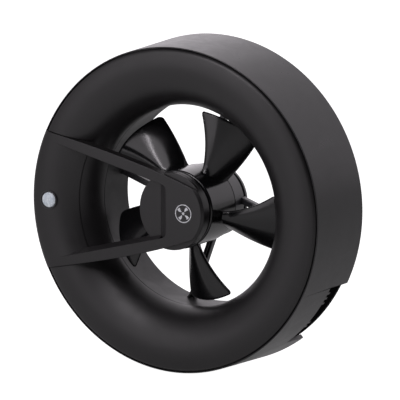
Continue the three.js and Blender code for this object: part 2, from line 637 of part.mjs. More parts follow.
function motorCarrier() {
  const cup = turned([
    [BARREL_FRONT_RADIUS - BARREL_WALL, BARREL_FRONT_Y],
    [BARREL_FRONT_RADIUS, BARREL_FRONT_Y],
    [BARREL_REAR_RADIUS, BARREL_REAR_Y],
    [CORE_BORE_RADIUS, BARREL_REAR_Y],
    [CORE_BORE_RADIUS, BARREL_BASE_Y],
    [BARREL_REAR_RADIUS - BARREL_WALL, BARREL_BASE_Y],
  ], MEDIUM_SIDES);
  const strutPitch = 360 / STRUT_COUNT;
  const strutAngles = Array.from({ length: STRUT_COUNT }, (_, i) => FIRST_STRUT_ANGLE + i * strutPitch);
  const bore = turned([
    [0, TUBE_FRONT_Y],
    [tubeBore(TUBE_FRONT_Y) - GAP, TUBE_FRONT_Y],
    [tubeBore(COLLAR_REAR_Y) - GAP, COLLAR_REAR_Y],
    [0, COLLAR_REAR_Y],
  ]);
  const hollowRadius = BARREL_REAR_RADIUS - BARREL_WALL - 0.1;
  const hollow = post(hollowRadius, BARREL_FRONT_Y, BARREL_BASE_Y, 0, 0, MEDIUM_SIDES);
  const holeAngle = FIRST_STRUT_ANGLE - 180;
  const leadHole = block(BARREL_LEAD_HOLE.reach, LEAD_HOLE_DEPTHS, BARREL_LEAD_HOLE.sides, holeAngle);
  const struts = strutAngles.map((angle) => strut(angle).intersect(bore));
  return cut(join([cup, ...struts]), [hollow, leadHole]);
}

function motorRearCap() {
  const front = BARREL_REAR_Y + GAP;
  return turned([
    [0, REAR_CAP_Y],
    ...REAR_CAP_EDGE.map(([r, depth]) => [r, REAR_CAP_Y - depth]),
    [BARREL_REAR_RADIUS, front],
    [BARREL_REAR_RADIUS - BARREL_WALL, front],
    ...REAR_CAP_HOLLOW.map(([r, depth]) => [r, REAR_CAP_Y - depth]),
    [0, REAR_CAP_Y - REAR_CAP_WALL],
  ], MEDIUM_SIDES);
}

function bearingTube() {
  return ring(BEARING_TUBE_BORE, BEARING_TUBE_RADIUS, BEARING_TUBE_FRONT_Y, BARREL_REAR_Y - 0.1, SMALL_SIDES);
}

const bearing = (front) =>
  ring(SHAFT_RADIUS + RUNNING_GAP, BEARING_RADIUS, front, front + BEARING_LENGTH, SMALL_SIDES);

function statorCore() {
  const hub = ring(CORE_BORE_RADIUS, CORE_HUB_RADIUS, CORE_FRONT_Y, CORE_REAR_Y, SMALL_SIDES * 2);
  const poles = Array.from({ length: POLE_COUNT }, (_, i) => {
    const angle = (i * 360) / POLE_COUNT;
    const tooth = block(POLE_RADII, [CORE_FRONT_Y, CORE_REAR_Y], around(POLE_WIDTH / 2), angle);
    const shoeAngles = around(SHOE_HALF_ANGLE, angle);
    return tooth.add(sector(SHOE_BORE_RADIUS, CORE_RADIUS, ...shoeAngles, CORE_FRONT_Y, CORE_REAR_Y, 12));
  });
  return join([hub, ...poles]);
}

function statorCoil() {
  const half = POLE_WIDTH / 2 + GAP;
  const ends = [CORE_FRONT_Y - COIL_OVERHANG, CORE_REAR_Y + COIL_OVERHANG];
  const outer = block(COIL_RADII, ends, around(half + COIL_WIDTH));
  const [near, far] = COIL_RADII;
  return cut(outer, [block([near - 1, far + 1], [CORE_FRONT_Y - GAP, CORE_REAR_Y + GAP], around(half))]);
}

const motorBoard = () => ring(...MOTOR_BOARD_RADII, MOTOR_BOARD_FRONT_Y, MOTOR_BOARD_REAR_Y, MEDIUM_SIDES);

// ---- rotor ----

// One blade: a grid of points over its front and rear faces, closed round the edge.
function blade(angle) {
  const radialSteps = 7;
  const chordSteps = 5;
  const rootRadius = HUB_RADIUS - 1;
  const point = (i, j, side) => {
    const s = 1 - (1 - i / radialSteps) ** 1.5;
    const radius = mix(rootRadius, TIP_RADIUS, s);
    const pastCorner = Math.max(0, radius - (TIP_RADIUS - BLADE_CORNER)) / BLADE_CORNER;
    const trim = BLADE_CORNER * (1 - Math.sqrt(1 - 0.97 * pastCorner ** 2)) * (180 / Math.PI / radius);
    const span = mix(ROOT_SPAN, TIP_SPAN, s);
    const across = mix(trim / span, 1 - trim / span, j / chordSteps);
    const at = radians(angle - ROOT_LAG * (1 - s) + span * (across - 0.5));
    const middle = mix(mix(ROOT_REAR_Y, TIP_REAR_Y, s), mix(ROOT_FRONT_Y, TIP_FRONT_Y, s), across);
    const camber = BLADE_CAMBER * (1 - (2 * across - 1) ** 2);
    const y = middle + camber + (side / 2) * mix(ROOT_THICKNESS, TIP_THICKNESS, s);
    return [radius * Math.cos(at), y, radius * Math.sin(at)];
  };
  const quads = [];
  const quad = (a, b, c, d) => quads.push(...a, ...b, ...c, ...a, ...c, ...d);
  for (let i = 0; i < radialSteps; i++) {
    for (let j = 0; j < chordSteps; j++) {
      quad(point(i, j, -1), point(i + 1, j, -1), point(i + 1, j + 1, -1), point(i, j + 1, -1));
      quad(point(i, j, 1), point(i, j + 1, 1), point(i + 1, j + 1, 1), point(i + 1, j, 1));
    }
    for (const [j, flip] of [[0, false], [chordSteps, true]]) {
      const rim = [point(i, j, -1), point(i, j, 1), point(i + 1, j, 1), point(i + 1, j, -1)];
      quad(...(flip ? rim.reverse() : rim));
    }
  }
  for (let j = 0; j < chordSteps; j++) {
    for (const [i, flip] of [[0, true], [radialSteps, false]]) {
      const rim = [point(i, j, -1), point(i, j, 1), point(i, j + 1, 1), point(i, j + 1, -1)];
      quad(...(flip ? rim.reverse() : rim));
    }
  }
  const geometry = new THREE.BufferGeometry();
  geometry.setAttribute("position", new THREE.Float32BufferAttribute(quads, 3));
  return solid(geometry);
}

function impeller() {
  const bore = HUB_RADIUS - HUB_WALL;
  const hub = turned([
    [0, HUB_FRONT_Y],
    [HUB_RADIUS - HUB_EDGE_ROUND, HUB_FRONT_Y],
    [HUB_RADIUS - HUB_EDGE_ROUND * 0.3, HUB_FRONT_Y + HUB_EDGE_ROUND * 0.3],
    [HUB_RADIUS, HUB_FRONT_Y + HUB_EDGE_ROUND],
    [HUB_RADIUS, HUB_REAR_Y],
    [bore, HUB_REAR_Y],
    [bore, HUB_FRONT_Y + HUB_WALL],
    [0, HUB_FRONT_Y + HUB_WALL],
  ], MEDIUM_SIDES);
  const inside = post(bore, HUB_FRONT_Y + HUB_WALL, HUB_REAR_Y + 5, 0, 0, MEDIUM_SIDES);
  const bladePitch = 360 / BLADE_COUNT;
  const blades = Array.from({ length: BLADE_COUNT }, (_, i) => blade(FIRST_BLADE_ANGLE + i * bladePitch));
  return cut(join([hub, ...blades]), [inside]);
}

function rotorCup() {
  return turned([
    [SHAFT_RADIUS + GAP, ROTOR_CUP_FRONT_Y],
    [ROTOR_CUP_RADIUS, ROTOR_CUP_FRONT_Y],
    [ROTOR_CUP_RADIUS, ROTOR_CUP_REAR_Y],
    [MAGNET_RADIUS + GAP, ROTOR_CUP_REAR_Y],
    [MAGNET_RADIUS + GAP, ROTOR_CUP_FRONT_Y + ROTOR_CUP_WALL],
    [SHAFT_RADIUS + GAP, ROTOR_CUP_FRONT_Y + ROTOR_CUP_WALL],
  ], MEDIUM_SIDES);
}

const rotorMagnet = () =>
  ring(MAGNET_BORE_RADIUS, MAGNET_RADIUS, MAGNET_FRONT_Y, MAGNET_REAR_Y, MEDIUM_SIDES);
const motorShaft = () => post(SHAFT_RADIUS, SHAFT_FRONT_Y, SHAFT_REAR_Y, 0, 0, SMALL_SIDES);
const shaftClip = () =>
  sector(SHAFT_RADIUS + 0.1, CLIP_RADIUS, CLIP_MOUTH_ANGLE / 2, 360 - CLIP_MOUTH_ANGLE / 2,
    CLIP_FRONT_Y, CLIP_REAR_Y, 25);

// ---- electrics ----

function mainBoard() {
  const depths = [BOARD_FRONT_Y, BOARD_REAR_Y];
  const arc = sector(BOARD_BORE_RADIUS, BOARD_RADIUS, BOARD_FROM, BOARD_TO, ...depths);
  const tab = sector(BOARD_BORE_RADIUS + 1, BOARD_TAB_RADIUS, ...BOARD_TAB_ANGLES, ...depths);
  const holes = BOARD_SCREW_ANGLES.map((angle) => post(SCREW_HOLE, -11, -7, BOARD_MIDDLE, angle));
  return cut(arc.add(tab), holes);
}

function terminalBlock() {
  const half = (TERMINAL_COUNT * TERMINAL_PITCH) / 2 + TERMINAL_END;
  const body = block(TERMINAL_RADII, [TERMINAL_FRONT_Y, BOARD_FRONT_Y - GAP], around(half));
  const places = terminalPlaces();
  const wellDepths = [TERMINAL_FRONT_Y - 1, WELL_FLOOR_Y];
  const wells = places.map((z) => block(WELL_RADII, wellDepths, around(WELL_HALF_WIDTH, z)));
  const mouths = places.map((z) => block(MOUTH_RADII, MOUTH_DEPTHS, around(MOUTH_HALF_WIDTH, z)));
  return cut(body, [...wells, ...mouths]);
}

const terminalPlaces = () =>
  Array.from({ length: TERMINAL_COUNT }, (_, i) => (i - (TERMINAL_COUNT - 1) / 2) * TERMINAL_PITCH);

function terminalScrew() {
  const { head, top, tip } = TERMINAL_SCREW;
  const slot = block(around(2 * head), [top - 1, top + SLOT_DEPTH], around(SLOT_HALF_WIDTH));
  return cut(post(head, top, tip), [slot]);
}

const powerModule = () =>
  block(MODULE_RADII, [MODULE_FRONT_Y, BOARD_FRONT_Y - GAP], around(MODULE_HALF_WIDTH));
const capacitor = () =>
  post(CAPACITOR_RADIUS, CAPACITOR_FRONT_Y, BOARD_FRONT_Y - GAP, 0, 0, SMALL_SIDES);
const motorPlug = () => block(PLUG_RADII, [PLUG_FRONT_Y, BOARD_FRONT_Y - GAP], around(PLUG_HALF_WIDTH));

// Radius and angle of the two screws of the cable clamp.
function clampScrewPlaces() {
  return around(CLAMP_SCREW_Z).map((z) =>
    [Math.hypot(CLAMP_CIRCLE, z), TERMINAL_ANGLE + degrees(Math.atan2(z, CLAMP_CIRCLE))]);
}

function cableClamp() {
  const piece = ([depth, width], depths) =>
    block(around(depth, CLAMP_CIRCLE), depths, around(width), TERMINAL_ANGLE);
  const bar = piece(CLAMP_HALF, CLAMP_DEPTHS);
  const saddle = piece(SADDLE_HALF, SADDLE_DEPTHS);
  return cut(bar, [saddle, ...clampScrewPlaces().map((spot) => post(SCREW_HOLE, -9, -5, ...spot))]);
}

function cableGrommet() {
  return turned([
    [GROMMET_BORE_RADIUS, GROMMET_FRONT_Y],
    [GROMMET_FLANGE_RADIUS, GROMMET_FRONT_Y],
    [GROMMET_FLANGE_RADIUS, -PLATE_THICKNESS - GAP],
    [GROMMET_NECK_RADIUS, -PLATE_THICKNESS - GAP],
    [GROMMET_NECK_RADIUS, -GAP],
    [GROMMET_NECK_RADIUS - 2, -GAP],
    [GROMMET_NECK_RADIUS - 2, GROMMET_FRONT_Y + 1.2],
    [GROMMET_BORE_RADIUS, GROMMET_FRONT_Y + 1.2],
  ], SMALL_SIDES);
}

// The motor's lead: out through the barrel, along the lower strut and through the tube to its plug.
function motorLead() {
  const [near, far] = strutEnds(FIRST_STRUT_ANGLE - 180);
  const along = far.clone().sub(near).normalize();
  const onStrut = (distance, y) => {
    const spot = near.clone().addScaledVector(along, distance);
    return new THREE.Vector3(spot.x, y, spot.y);
  };
  const atPlug = (radius, y) =>
    new THREE.Vector3(radius * Math.cos(radians(PLUG_ANGLE)), y, radius * Math.sin(radians(PLUG_ANGLE)));
  const route = new THREE.CatmullRomCurve3([
    onStrut(-6, -11.1),
    onStrut(-5.6, -9.4),
    onStrut(-3, LEAD_Y - 0.4),
    onStrut(1, LEAD_Y),
    onStrut(20, LEAD_Y),
    onStrut(38, LEAD_Y),
    atPlug(62.6, LEAD_Y - 1),
    atPlug(64, LEAD_Y - 3.6),
    atPlug(66.4, LEAD_Y - 5.8),
    atPlug(69.8, LEAD_Y - 5.9),
  ]);
  const section = new THREE.Shape().absarc(0, 0, LEAD_RADIUS, 0, 2 * Math.PI);
  return solid(new THREE.ExtrudeGeometry(section, { steps: 30, curveSegments: 4, extrudePath: route }));
}

// ---- materials ----

const plastic = (color, roughness) => new THREE.MeshStandardMaterial({ color, roughness, metalness: 0 });
const metal = (color, roughness) => new THREE.MeshStandardMaterial({ color, roughness, metalness: 1 });
const MATERIALS = {
  front: plastic(0x1b1a1d, 0.55),
  shell: plastic(0x1d1d20, 0.4),
  inner: plastic(0x161617, 0.5),
  blade: plastic(0x141416, 0.3),
  lens: plastic(0xaeb8c4, 0.25),
  board: plastic(0x1d5a36, 0.5),
  part: plastic(0x2a2a2c, 0.5),
  terminal: plastic(0x3c6b52, 0.5),
  lead: plastic(0x101010, 0.6),
  rubber: plastic(0x151515, 0.9),
  steel: metal(0xa8a9ab, 0.35),
  laminate: metal(0x70726f, 0.5),
  copper: metal(0xa85a2a, 0.4),
  brass: metal(0xb59a4a, 0.35),
  magnet: plastic(0x2f2f31, 0.7),
};

// ---- assembly ----

function place(group, name, shape, material, { angle = 0, circle = 0, shift = 0 } = {}) {
  const mesh = new THREE.Mesh(geometryOf(shape), MATERIALS[material]);
  mesh.name = name;
  const turn = radians(angle);
  mesh.rotation.y = -turn;
  mesh.position.set(
    circle * Math.cos(turn) - shift * Math.sin(turn), 0, circle * Math.sin(turn) + shift * Math.cos(turn));
  group.add(mesh);
}

function placeScrews(group, name, size, places) {
  places.forEach((spot, i) => place(group, `${name}_${i + 1}`, screw(size, ...spot), "steel"));
}

function housingGroup() {
  const group = new THREE.Group();
  place(group, "outer_shell", outerShell(), "shell");
  place(group, "back_plate", backPlate(), "inner");
  place(group, "duct_tube", ductTube(), "inner");
  place(group, "motor_carrier", motorCarrier(), "inner");
  place(group, "motor_rear_cap", motorRearCap(), "inner");
  place(group, "bearing_tube", bearingTube(), "brass");
  place(group, "front_bearing", bearing(BEARING_TUBE_FRONT_Y + 0.4), "steel");
  place(group, "rear_bearing", bearing(REAR_BEARING_Y), "steel");
  place(group, "stator_core", statorCore(), "laminate");
  for (let i = 0; i < POLE_COUNT; i++) {
    place(group, `stator_coil_${i + 1}`, statorCoil(), "copper", { angle: (i * 360) / POLE_COUNT });
  }
  place(group, "motor_board", motorBoard(), "board");
  place(group, "motor_lead", motorLead(), "lead");
  placeScrews(group, "shell_screw", SCREWS.shell, LUG_ANGLES.map((angle) => [LUG_SCREW_RADIUS, angle]));
  placeScrews(group, "tube_screw", SCREWS.tube, TUBE_SCREW_ANGLES.map((angle) => [TUBE_SCREW_CIRCLE, angle]));
  return group;
}

function electricsGroup() {
  const group = new THREE.Group();
  place(group, "main_board", mainBoard(), "board");
  placeScrews(group, "board_screw", SCREWS.board, BOARD_SCREW_ANGLES.map((angle) => [BOARD_MIDDLE, angle]));
  place(group, "terminal_block", terminalBlock(), "terminal", { angle: TERMINAL_ANGLE });
  terminalPlaces().forEach((shift, i) => place(group, `terminal_screw_${i + 1}`, terminalScrew(), "brass",
    { angle: TERMINAL_ANGLE, circle: BOARD_MIDDLE, shift }));
  place(group, "power_module", powerModule(), "part", { angle: MODULE_ANGLE });
  place(group, "smoothing_capacitor", capacitor(), "part", { angle: CAPACITOR_ANGLE, circle: BOARD_MIDDLE });
  place(group, "motor_plug", motorPlug(), "part", { angle: PLUG_ANGLE });
  place(group, "sensor_socket", sensorSocket(), "part", { angle: 180, circle: SENSOR_CIRCLE });
  place(group, "cable_clamp", cableClamp(), "inner");
  placeScrews(group, "clamp_screw", SCREWS.clamp, clampScrewPlaces());
  place(group, "cable_grommet", cableGrommet(), "rubber", { angle: GROMMET_ANGLE, circle: GROMMET_CIRCLE });
  return group;
}

function rotorGroup() {
  const group = new THREE.Group();
  place(group, "impeller", impeller(), "blade");
  place(group, "rotor_cup", rotorCup(), "steel");
  place(group, "rotor_magnet", rotorMagnet(), "magnet");
  place(group, "motor_shaft", motorShaft(), "steel");
  place(group, "shaft_clip", shaftClip(), "steel");
  return group;
}

function frontPanelGroup() {
  const group = new THREE.Group();
  place(group, "front_ring", frontRing(), "front");
  place(group, "arm_frame", armFrame(), "front");
  place(group, "hub_cover", centreCap(), "front");
  placeScrews(group, "arm_screw", SCREWS.arm, ARM_BOSS_ANGLES.map((angle) => [CREST_RADIUS, angle]));
  placeScrews(group, "hub_cover_screw", SCREWS.cap, capScrewPlaces());
  const atSensor = { angle: 180, circle: SENSOR_CIRCLE };
  place(group, "sensor_lens", sensorLens(), "lens", atSensor);
  place(group, "sensor_bezel", sensorBezel(), "part", atSensor);
  place(group, "sensor_element", sensorElement(), "steel", atSensor);
  place(group, "sensor_board", sensorBoard(), "board", atSensor);
  place(group, "sensor_plug", sensorPlug(), "part", atSensor);
  return group;
}

const fan = new THREE.Group();
fan.add(housingGroup(), electricsGroup(), rotorGroup(), frontPanelGroup());

export default fan;
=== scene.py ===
import json
import math

import bmesh
import bpy
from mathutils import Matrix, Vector


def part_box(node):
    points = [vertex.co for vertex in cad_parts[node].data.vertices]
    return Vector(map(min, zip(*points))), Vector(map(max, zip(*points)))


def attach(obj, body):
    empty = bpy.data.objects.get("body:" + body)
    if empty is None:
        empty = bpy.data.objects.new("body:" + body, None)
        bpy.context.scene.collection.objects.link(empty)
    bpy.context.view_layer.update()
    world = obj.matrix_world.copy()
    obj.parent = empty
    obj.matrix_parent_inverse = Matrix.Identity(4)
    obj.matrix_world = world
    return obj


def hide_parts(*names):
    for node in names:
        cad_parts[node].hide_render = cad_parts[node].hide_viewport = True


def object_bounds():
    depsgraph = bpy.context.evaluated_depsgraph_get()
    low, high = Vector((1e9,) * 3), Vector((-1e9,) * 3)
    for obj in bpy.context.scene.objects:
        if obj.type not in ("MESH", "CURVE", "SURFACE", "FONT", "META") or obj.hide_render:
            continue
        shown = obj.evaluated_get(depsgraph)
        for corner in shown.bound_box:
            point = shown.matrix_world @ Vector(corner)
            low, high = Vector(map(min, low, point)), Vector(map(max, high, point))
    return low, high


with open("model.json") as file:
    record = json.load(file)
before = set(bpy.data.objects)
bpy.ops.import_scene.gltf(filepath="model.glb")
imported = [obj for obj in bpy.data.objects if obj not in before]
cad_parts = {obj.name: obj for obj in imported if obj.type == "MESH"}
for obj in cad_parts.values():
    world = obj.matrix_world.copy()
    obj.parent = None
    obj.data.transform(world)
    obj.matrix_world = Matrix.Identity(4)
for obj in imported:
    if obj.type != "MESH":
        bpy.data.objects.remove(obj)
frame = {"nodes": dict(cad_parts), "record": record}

MM = 0.001
cad_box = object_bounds()
record = frame["record"]
BODY_OF = {node: body for body, nodes in record["behaviour"]["bodies"].items() for node in nodes}
SLOT_OF = {part["node"]: part["material_slot"] for part in record["subparts"]}


def span(node):
    """Lowest and highest corner of a CAD node, in millimetres."""
    low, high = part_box(node)
    return low / MM, high / MM


def across(node):
    """The middle of a CAD node seen from the front: x and z."""
    low, high = span(node)
    centre = (low + high) / 2
    return centre.x, centre.z


def half_width(node):
    low, high = span(node)
    return (high.x - low.x) / 2


# ---- dimensions ----

GAP = 0.3
SEAM = 0.45
ROUND_SIDES = 240
SMALL_SIDES = 64
SECTOR_STEP = 1.5

# Front ring: an elliptical section, from the throat over the crest to a rounded edge and back in a skirt
ring_low, ring_high = span("front_ring")
tube_low, tube_high = span("duct_tube")
THROAT_GAP = 0.1
CREST_RADIUS = 83
BELL_WIDE = 25.2
BELL_CENTRE_Y = tube_low.y - THROAT_GAP
BELL_DEEP = BELL_CENTRE_Y - ring_low.y
RING_WALL = 2.6
RING_EDGE_RADIUS = ring_high.x
RING_EDGE_ROUND = 2.6
RING_EDGE_STEPS = 8
RING_SIDES = 288
RING_BACK_END_ANGLE = 101
BELL_STEPS = 72
SKIRT_RADIUS = 89.4
SKIRT_WALL = 2

# Outer shell
shell_low, shell_high = span("outer_shell")
SHELL_RADIUS = shell_high.x
SHELL_FRONT_RADIUS = 92.2
SHELL_WALL = 2.4
SHELL_LIP = 0.6
SHELL_SHELF_Y = -46
SHELL_SIDES = 360
NOTCH_FROM = -52
NOTCH_TO = -25
NOTCH_DEPTH = 18.8
NOTCH_TOOTH_ANGLES = (-42.6, -40.6, -31.7, -29.6, -27.5)
NOTCH_TOOTH_HALF_ANGLE = 0.45
NOTCH_TOOTH_HEIGHT = 2.2
NOTCH_CUT_RADII = (86, 100)
NOTCH_TOOTH_CUT_RADII = (84, 102)
LUG_ANGLES = (20, 110, 200, 290)
LUG_SCREW_RADIUS = 88.5
LUG_RADII = (85, 91.6)
LUG_FRONT_Y = -14
LUG_SIDES = (-5, 5)

# Back plate
PLATE_THICKNESS = 3
PLATE_HOLE_RADIUS = 62.6
PLATE_RADIUS = span("back_plate")[1].x
PLATE_RIB_RADIUS = 84.6
PLATE_RIB_HALF_WIDTH = 0.6
PLATE_RIB_HEIGHT = 1.2
PLATE_RIB_MARGIN = 9
SHELL_SCREW_HOLE_RADIUS = 3.2
CABLE_ENTRY_RADIUS = 8
BOARD_POST_RADIUS = 2.8
CLAMP_POST_RADIUS = 2.4
CLAMP_POST_FRONT_Y = -5.7
POST_OVERLAP = 0.2
WALL_HOLE_ANGLES = (60, 120, 240, 300)
WALL_HOLE_CIRCLE = 82
WALL_HOLE_RADIUS = 2.5

# Duct tube
THROAT_RADIUS = CREST_RADIUS - BELL_WIDE
COLLAR_BORE_RADIUS = 60.4
TUBE_WALL = 1.8
FLANGE_FRONT_Y = -5.8
TUBE_SCREW_ANGLES = (30, 150, 270)
TUBE_SCREW_CIRCLE = 65.3
TUBE_SCREW_HOLE_RADIUS = 1.5

# Arm
arm_low, arm_high = span("arm_frame")
ARM_PROUD = ring_low.y - arm_low.y
ARM_LAYER = 1.5
ARM_COLUMNS = 90
ARM_EDGE_COLUMNS = 5
ARM_REAR_Y = -44.5
ARM_END_RADIUS = -arm_low.x
ARM_END_REAR_Y = shell_low.y - GAP
ARM_INNER_RADIUS = 64
ARM_SEARCH_ANGLE = 40
ARM_BACK_END_ANGLE = 103
ARM_BAR_END_RADIUS = 84
ARM_OUTER_POINT = Vector((-83.7, 40.2))
ARM_BEND_POINT = Vector((-18.2, 27.8))
ARM_HUB_POINT = Vector((17.3, 13.6))
ARM_BOSS_ANGLES = (160, 200)
ARM_BOSS_RADIUS = 3
ARM_BOSS_BORE = 1.5
WINDOW_HALF_AT_AXIS = 14
WINDOW_SLOPE = 0.257
WINDOW_END_X = -2
WINDOW_FOOT_X = -7.8
WINDOW_CORNER = 3.4
BAR_LEAN = 2.3
BAR_SLOPE_START_X = -66

# Centre cap
cap_low, cap_high = span("hub_cover")
CAP_RADIUS = cap_high.x
CAP_FACE_RADIUS = 20.5
CAP_BEVEL_DEPTH = 1.4
CAP_CROWN_Y = -50.4
CAP_SHOULDER_Y = -48.6
CAP_WALL = 1.4
CAP_SIDES = 160

# Printed sign on the centre's face, and the sensor's lens
SIGN_CENTRE = (9.4, 0)
SIGN_RADIUS = 5.2
SIGN_LINE = 0.5
SIGN_DOT_RADIUS = 0.8
SIGN_BLADE_TURNS = (45, 135, 225, 315)
LENS_DOME_DEPTH = 2
LENS_SIDES = 96
BEZEL_GAP = 0.15

# Impeller
BLADE_COUNT = 5
FIRST_BLADE_ANGLE = 65
TIP_RADIUS = 55
HUB_RADIUS = 22.5
HUB_WALL = 1.6
HUB_FRONT_Y = span("impeller")[0].y
HUB_REAR_Y = -14.9
ROOT_THICKNESS = 2.2
TIP_THICKNESS = 1.4
BLADE_CORNER = 2.5
BLADE_TIP_ROUND = 1.2
BLADE_EDGE_ROUND = 1.3
BLADE_CHORD = 30
BLADE_FILLET_REACH = 4
BLADE_FILLET_GAIN = 1.1
TIP_FRONT_Y = -25.6
TIP_REAR_Y = -13.8
ROOT_FRONT_Y = -26.6
ROOT_REAR_Y = -15.9
TIP_SPAN = 36.7
ROOT_SPAN = 29.9
ROOT_LAG = 11.5
BLADE_CAMBER = -4.4

# Motor
motor_cap_low, motor_cap_high = span("motor_rear_cap")
BARREL_FRONT_Y = span("motor_carrier")[0].y
BARREL_FRONT_RADIUS = 22.2
BARREL_REAR_RADIUS = motor_cap_high.x
BARREL_REAR_Y = -0.6
BARREL_WALL = 1.6
BARREL_FLOOR = 1.8
BARREL_FLOOR_BORE = 6
BARREL_SIDES = 160
BARREL_SEAM_WIDTH = 1.7
BARREL_SEAM_DEPTH = 1.2
STRUT_COUNT = 4
FIRST_STRUT_ANGLE = 95
STRUT_SWEEP = -17
STRUT_WIDTH = 3.7
STRUT_FRONT_Y = -5.6
STRUT_REAR_Y = -1.2

# Screws: which have their heads in front, and the heads' form
HEAD_IN_FRONT = {"shell_screw": False, "tube_screw": True, "board_screw": True, "clamp_screw": True,
                 "arm_screw": False, "hub_cover_screw": False, "terminal_screw": True}
SCREW_HEAD_HEIGHT = 1.5
SCREW_DOME_HEIGHT = 0.35
SCREW_SHANK_SHARE = 0.45
SCREW_CROSS_HALF_WIDTH_SHARE = 0.11
SCREW_CROSS_REACH_SHARE = 0.62
SCREW_CROSS_DEPTH = 0.8
SCREW_CROSS_TURNS = (15, 105)

# Grommet
GROMMET_BORE = 3.4
GROMMET_NECK_RADIUS = 7.7
GROMMET_WALL = 2
GROMMET_WEB = 1.2

# CAD pieces that keep their shape and get their edges rounded
BEVELLED = ("terminal_block", "power_module", "motor_plug", "sensor_socket", "cable_clamp", "sensor_plug",
            "sensor_board", "main_board")
BEVEL_WIDTH = 0.25


def mix(start, end, share):
    return start + (end - start) * share


def polar(radius, angle):
    turn = math.radians(angle)
    return Vector((radius * math.cos(turn), radius * math.sin(turn)))


# ---- meshes ----

def solid(points, faces):
    """A closed mesh from points in millimetres."""
    mesh = bpy.data.meshes.new("solid")
    mesh.from_pydata([Vector(point) * MM for point in points], [], faces)
    tidy = bmesh.new()
    tidy.from_mesh(mesh)
    bmesh.ops.remove_doubles(tidy, verts=tidy.verts, dist=1e-7)
    bmesh.ops.recalc_face_normals(tidy, faces=tidy.faces)
    tidy.to_mesh(mesh)
    tidy.free()
    piece = bpy.data.objects.new("solid", mesh)
    bpy.context.scene.collection.objects.link(piece)
    return piece


def grid(rows, looped=False):
    """A solid from closed rows of points. The rows form a loop, or else the first and last are capped."""
    count = len(rows[0])
    faces = []
    for i in range(len(rows) - (0 if looped else 1)):
        for k in range(count):
            i_next, k_next = (i + 1) % len(rows), (k + 1) % count
            faces.append((i * count + k, i * count + k_next, i_next * count + k_next, i_next * count + k))
    if not looped:
        faces.append(tuple(range(count)))
        faces.append(tuple((len(rows) - 1) * count + k for k in range(count)))
    return solid([point for row in rows for point in row], faces)


def rounded(corners, steps=5):
    """An outline in which each corner that has a third value is rounded to that radius."""
    points = []
    for i, corner in enumerate(corners):
        here = Vector(corner[:2])
        if len(corner) == 2:
            points.append(here)
            continue
        before = Vector(corners[i - 1][:2]) - here
        after = Vector(corners[(i + 1) % len(corners)][:2]) - here
        half = before.angle(after) / 2
        reach = min(corner[2] / math.tan(half), 0.48 * before.length, 0.48 * after.length)
        centre = here + (before.normalized() + after.normalized()).normalized() * reach / math.cos(half)
        start, end = here + before.normalized() * reach - centre, here + after.normalized() * reach - centre
        turn = math.pi - 2 * half
        for k in range(steps + 1):
            share = k / steps
            points.append(centre + (start * math.sin((1 - share) * turn) + end * math.sin(share * turn))
                          / math.sin(turn))
    return points


def turned(outline, sides=ROUND_SIDES, at=(0, 0)):
    """A closed outline of (radius, y) turned about an axis along Y."""
    rows = []
    for i in range(sides):
        turn = 2 * math.pi * i / sides
        rows.append([(at[0] + r * math.cos(turn), y, at[1] + r * math.sin(turn)) for r, y in outline])
    return grid(rows, looped=True)


def rod(radius, front, rear, at=(0, 0), edge=0.0):
    edges = (edge,) if edge else ()
    outline = rounded([(0, front), (radius, front, *edges), (radius, rear, *edges), (0, rear)])
    return turned(outline, SMALL_SIDES, at)


def inset(outline, distance):
    """The outline, which runs anticlockwise, moved inwards."""
    moved = []
    for i, here in enumerate(outline):
        before = (here - outline[i - 1]).normalized()
        after = (outline[(i + 1) % len(outline)] - here).normalized()
        inwards = Vector((-before.y - after.y, before.x + after.x))
        moved.append(here + inwards * distance / max(1 + before.dot(after), 0.3))
    return moved


def prism(outline, front, rear, front_edge=0.0, rear_edge=0.0, steps=4):
    """An XZ outline given depth along the axis, with rounded edges on its front and rear."""
    outline = [Vector(point[:2]) for point in outline]
    area = sum(a.cross(b) for a, b in zip(outline, outline[1:] + outline[:1]))
    if area < 0:
        outline.reverse()
    levels = []
    for edge, y, way in ((front_edge, front, 1), (rear_edge, rear, -1)):
        arcs = [math.radians(90 * k / steps) for k in range(steps + 1)] if edge else [0]
        level = [(edge * (1 - math.sin(turn)), y + way * edge * (1 - math.cos(turn))) for turn in arcs]
        levels += level if way == 1 else level[::-1]
    rows = [[(p.x, y, p.y) for p in inset(outline, distance)] for distance, y in levels]
    return grid(rows)


def rotated(outline, angle, at=(0, 0)):
    turn = math.radians(angle)
    return [Vector((at[0] + x * math.cos(turn) - z * math.sin(turn),
                    at[1] + x * math.sin(turn) + z * math.cos(turn))) for x, z in outline]


def block(near_far, front_rear, low_high, angle=0, edge=0.3, at=(0, 0)):
    """A box with rounded edges, given by its radial, axial and sideways ranges."""
    (near, far), (front, rear), (low, high) = near_far, front_rear, low_high
    corners = [(near, low), (far, low), (far, high), (near, high)]
    outline = rounded([(*corner, edge) for corner in corners], 3) if edge else corners
    return prism(rotated(outline, angle, at), front, rear, edge, edge, 3)


def sector(bore, radius, start, end, front, rear, edge=0.0):
    """A part of a ring plate, between two angles."""
    count = max(2, math.ceil((end - start) / SECTOR_STEP))
    angles = [mix(start, end, k / count) for k in range(count + 1)]
    outline = [polar(radius, angle) for angle in angles] + [polar(bore, angle) for angle in angles[::-1]]
    return prism(outline, front, rear, edge, edge)


def settle(piece):
    """Applies the piece's modifiers."""
    depsgraph = bpy.context.evaluated_depsgraph_get()
    mesh = bpy.data.meshes.new_from_object(piece.evaluated_get(depsgraph))
    piece.modifiers.clear()
    piece.data = mesh


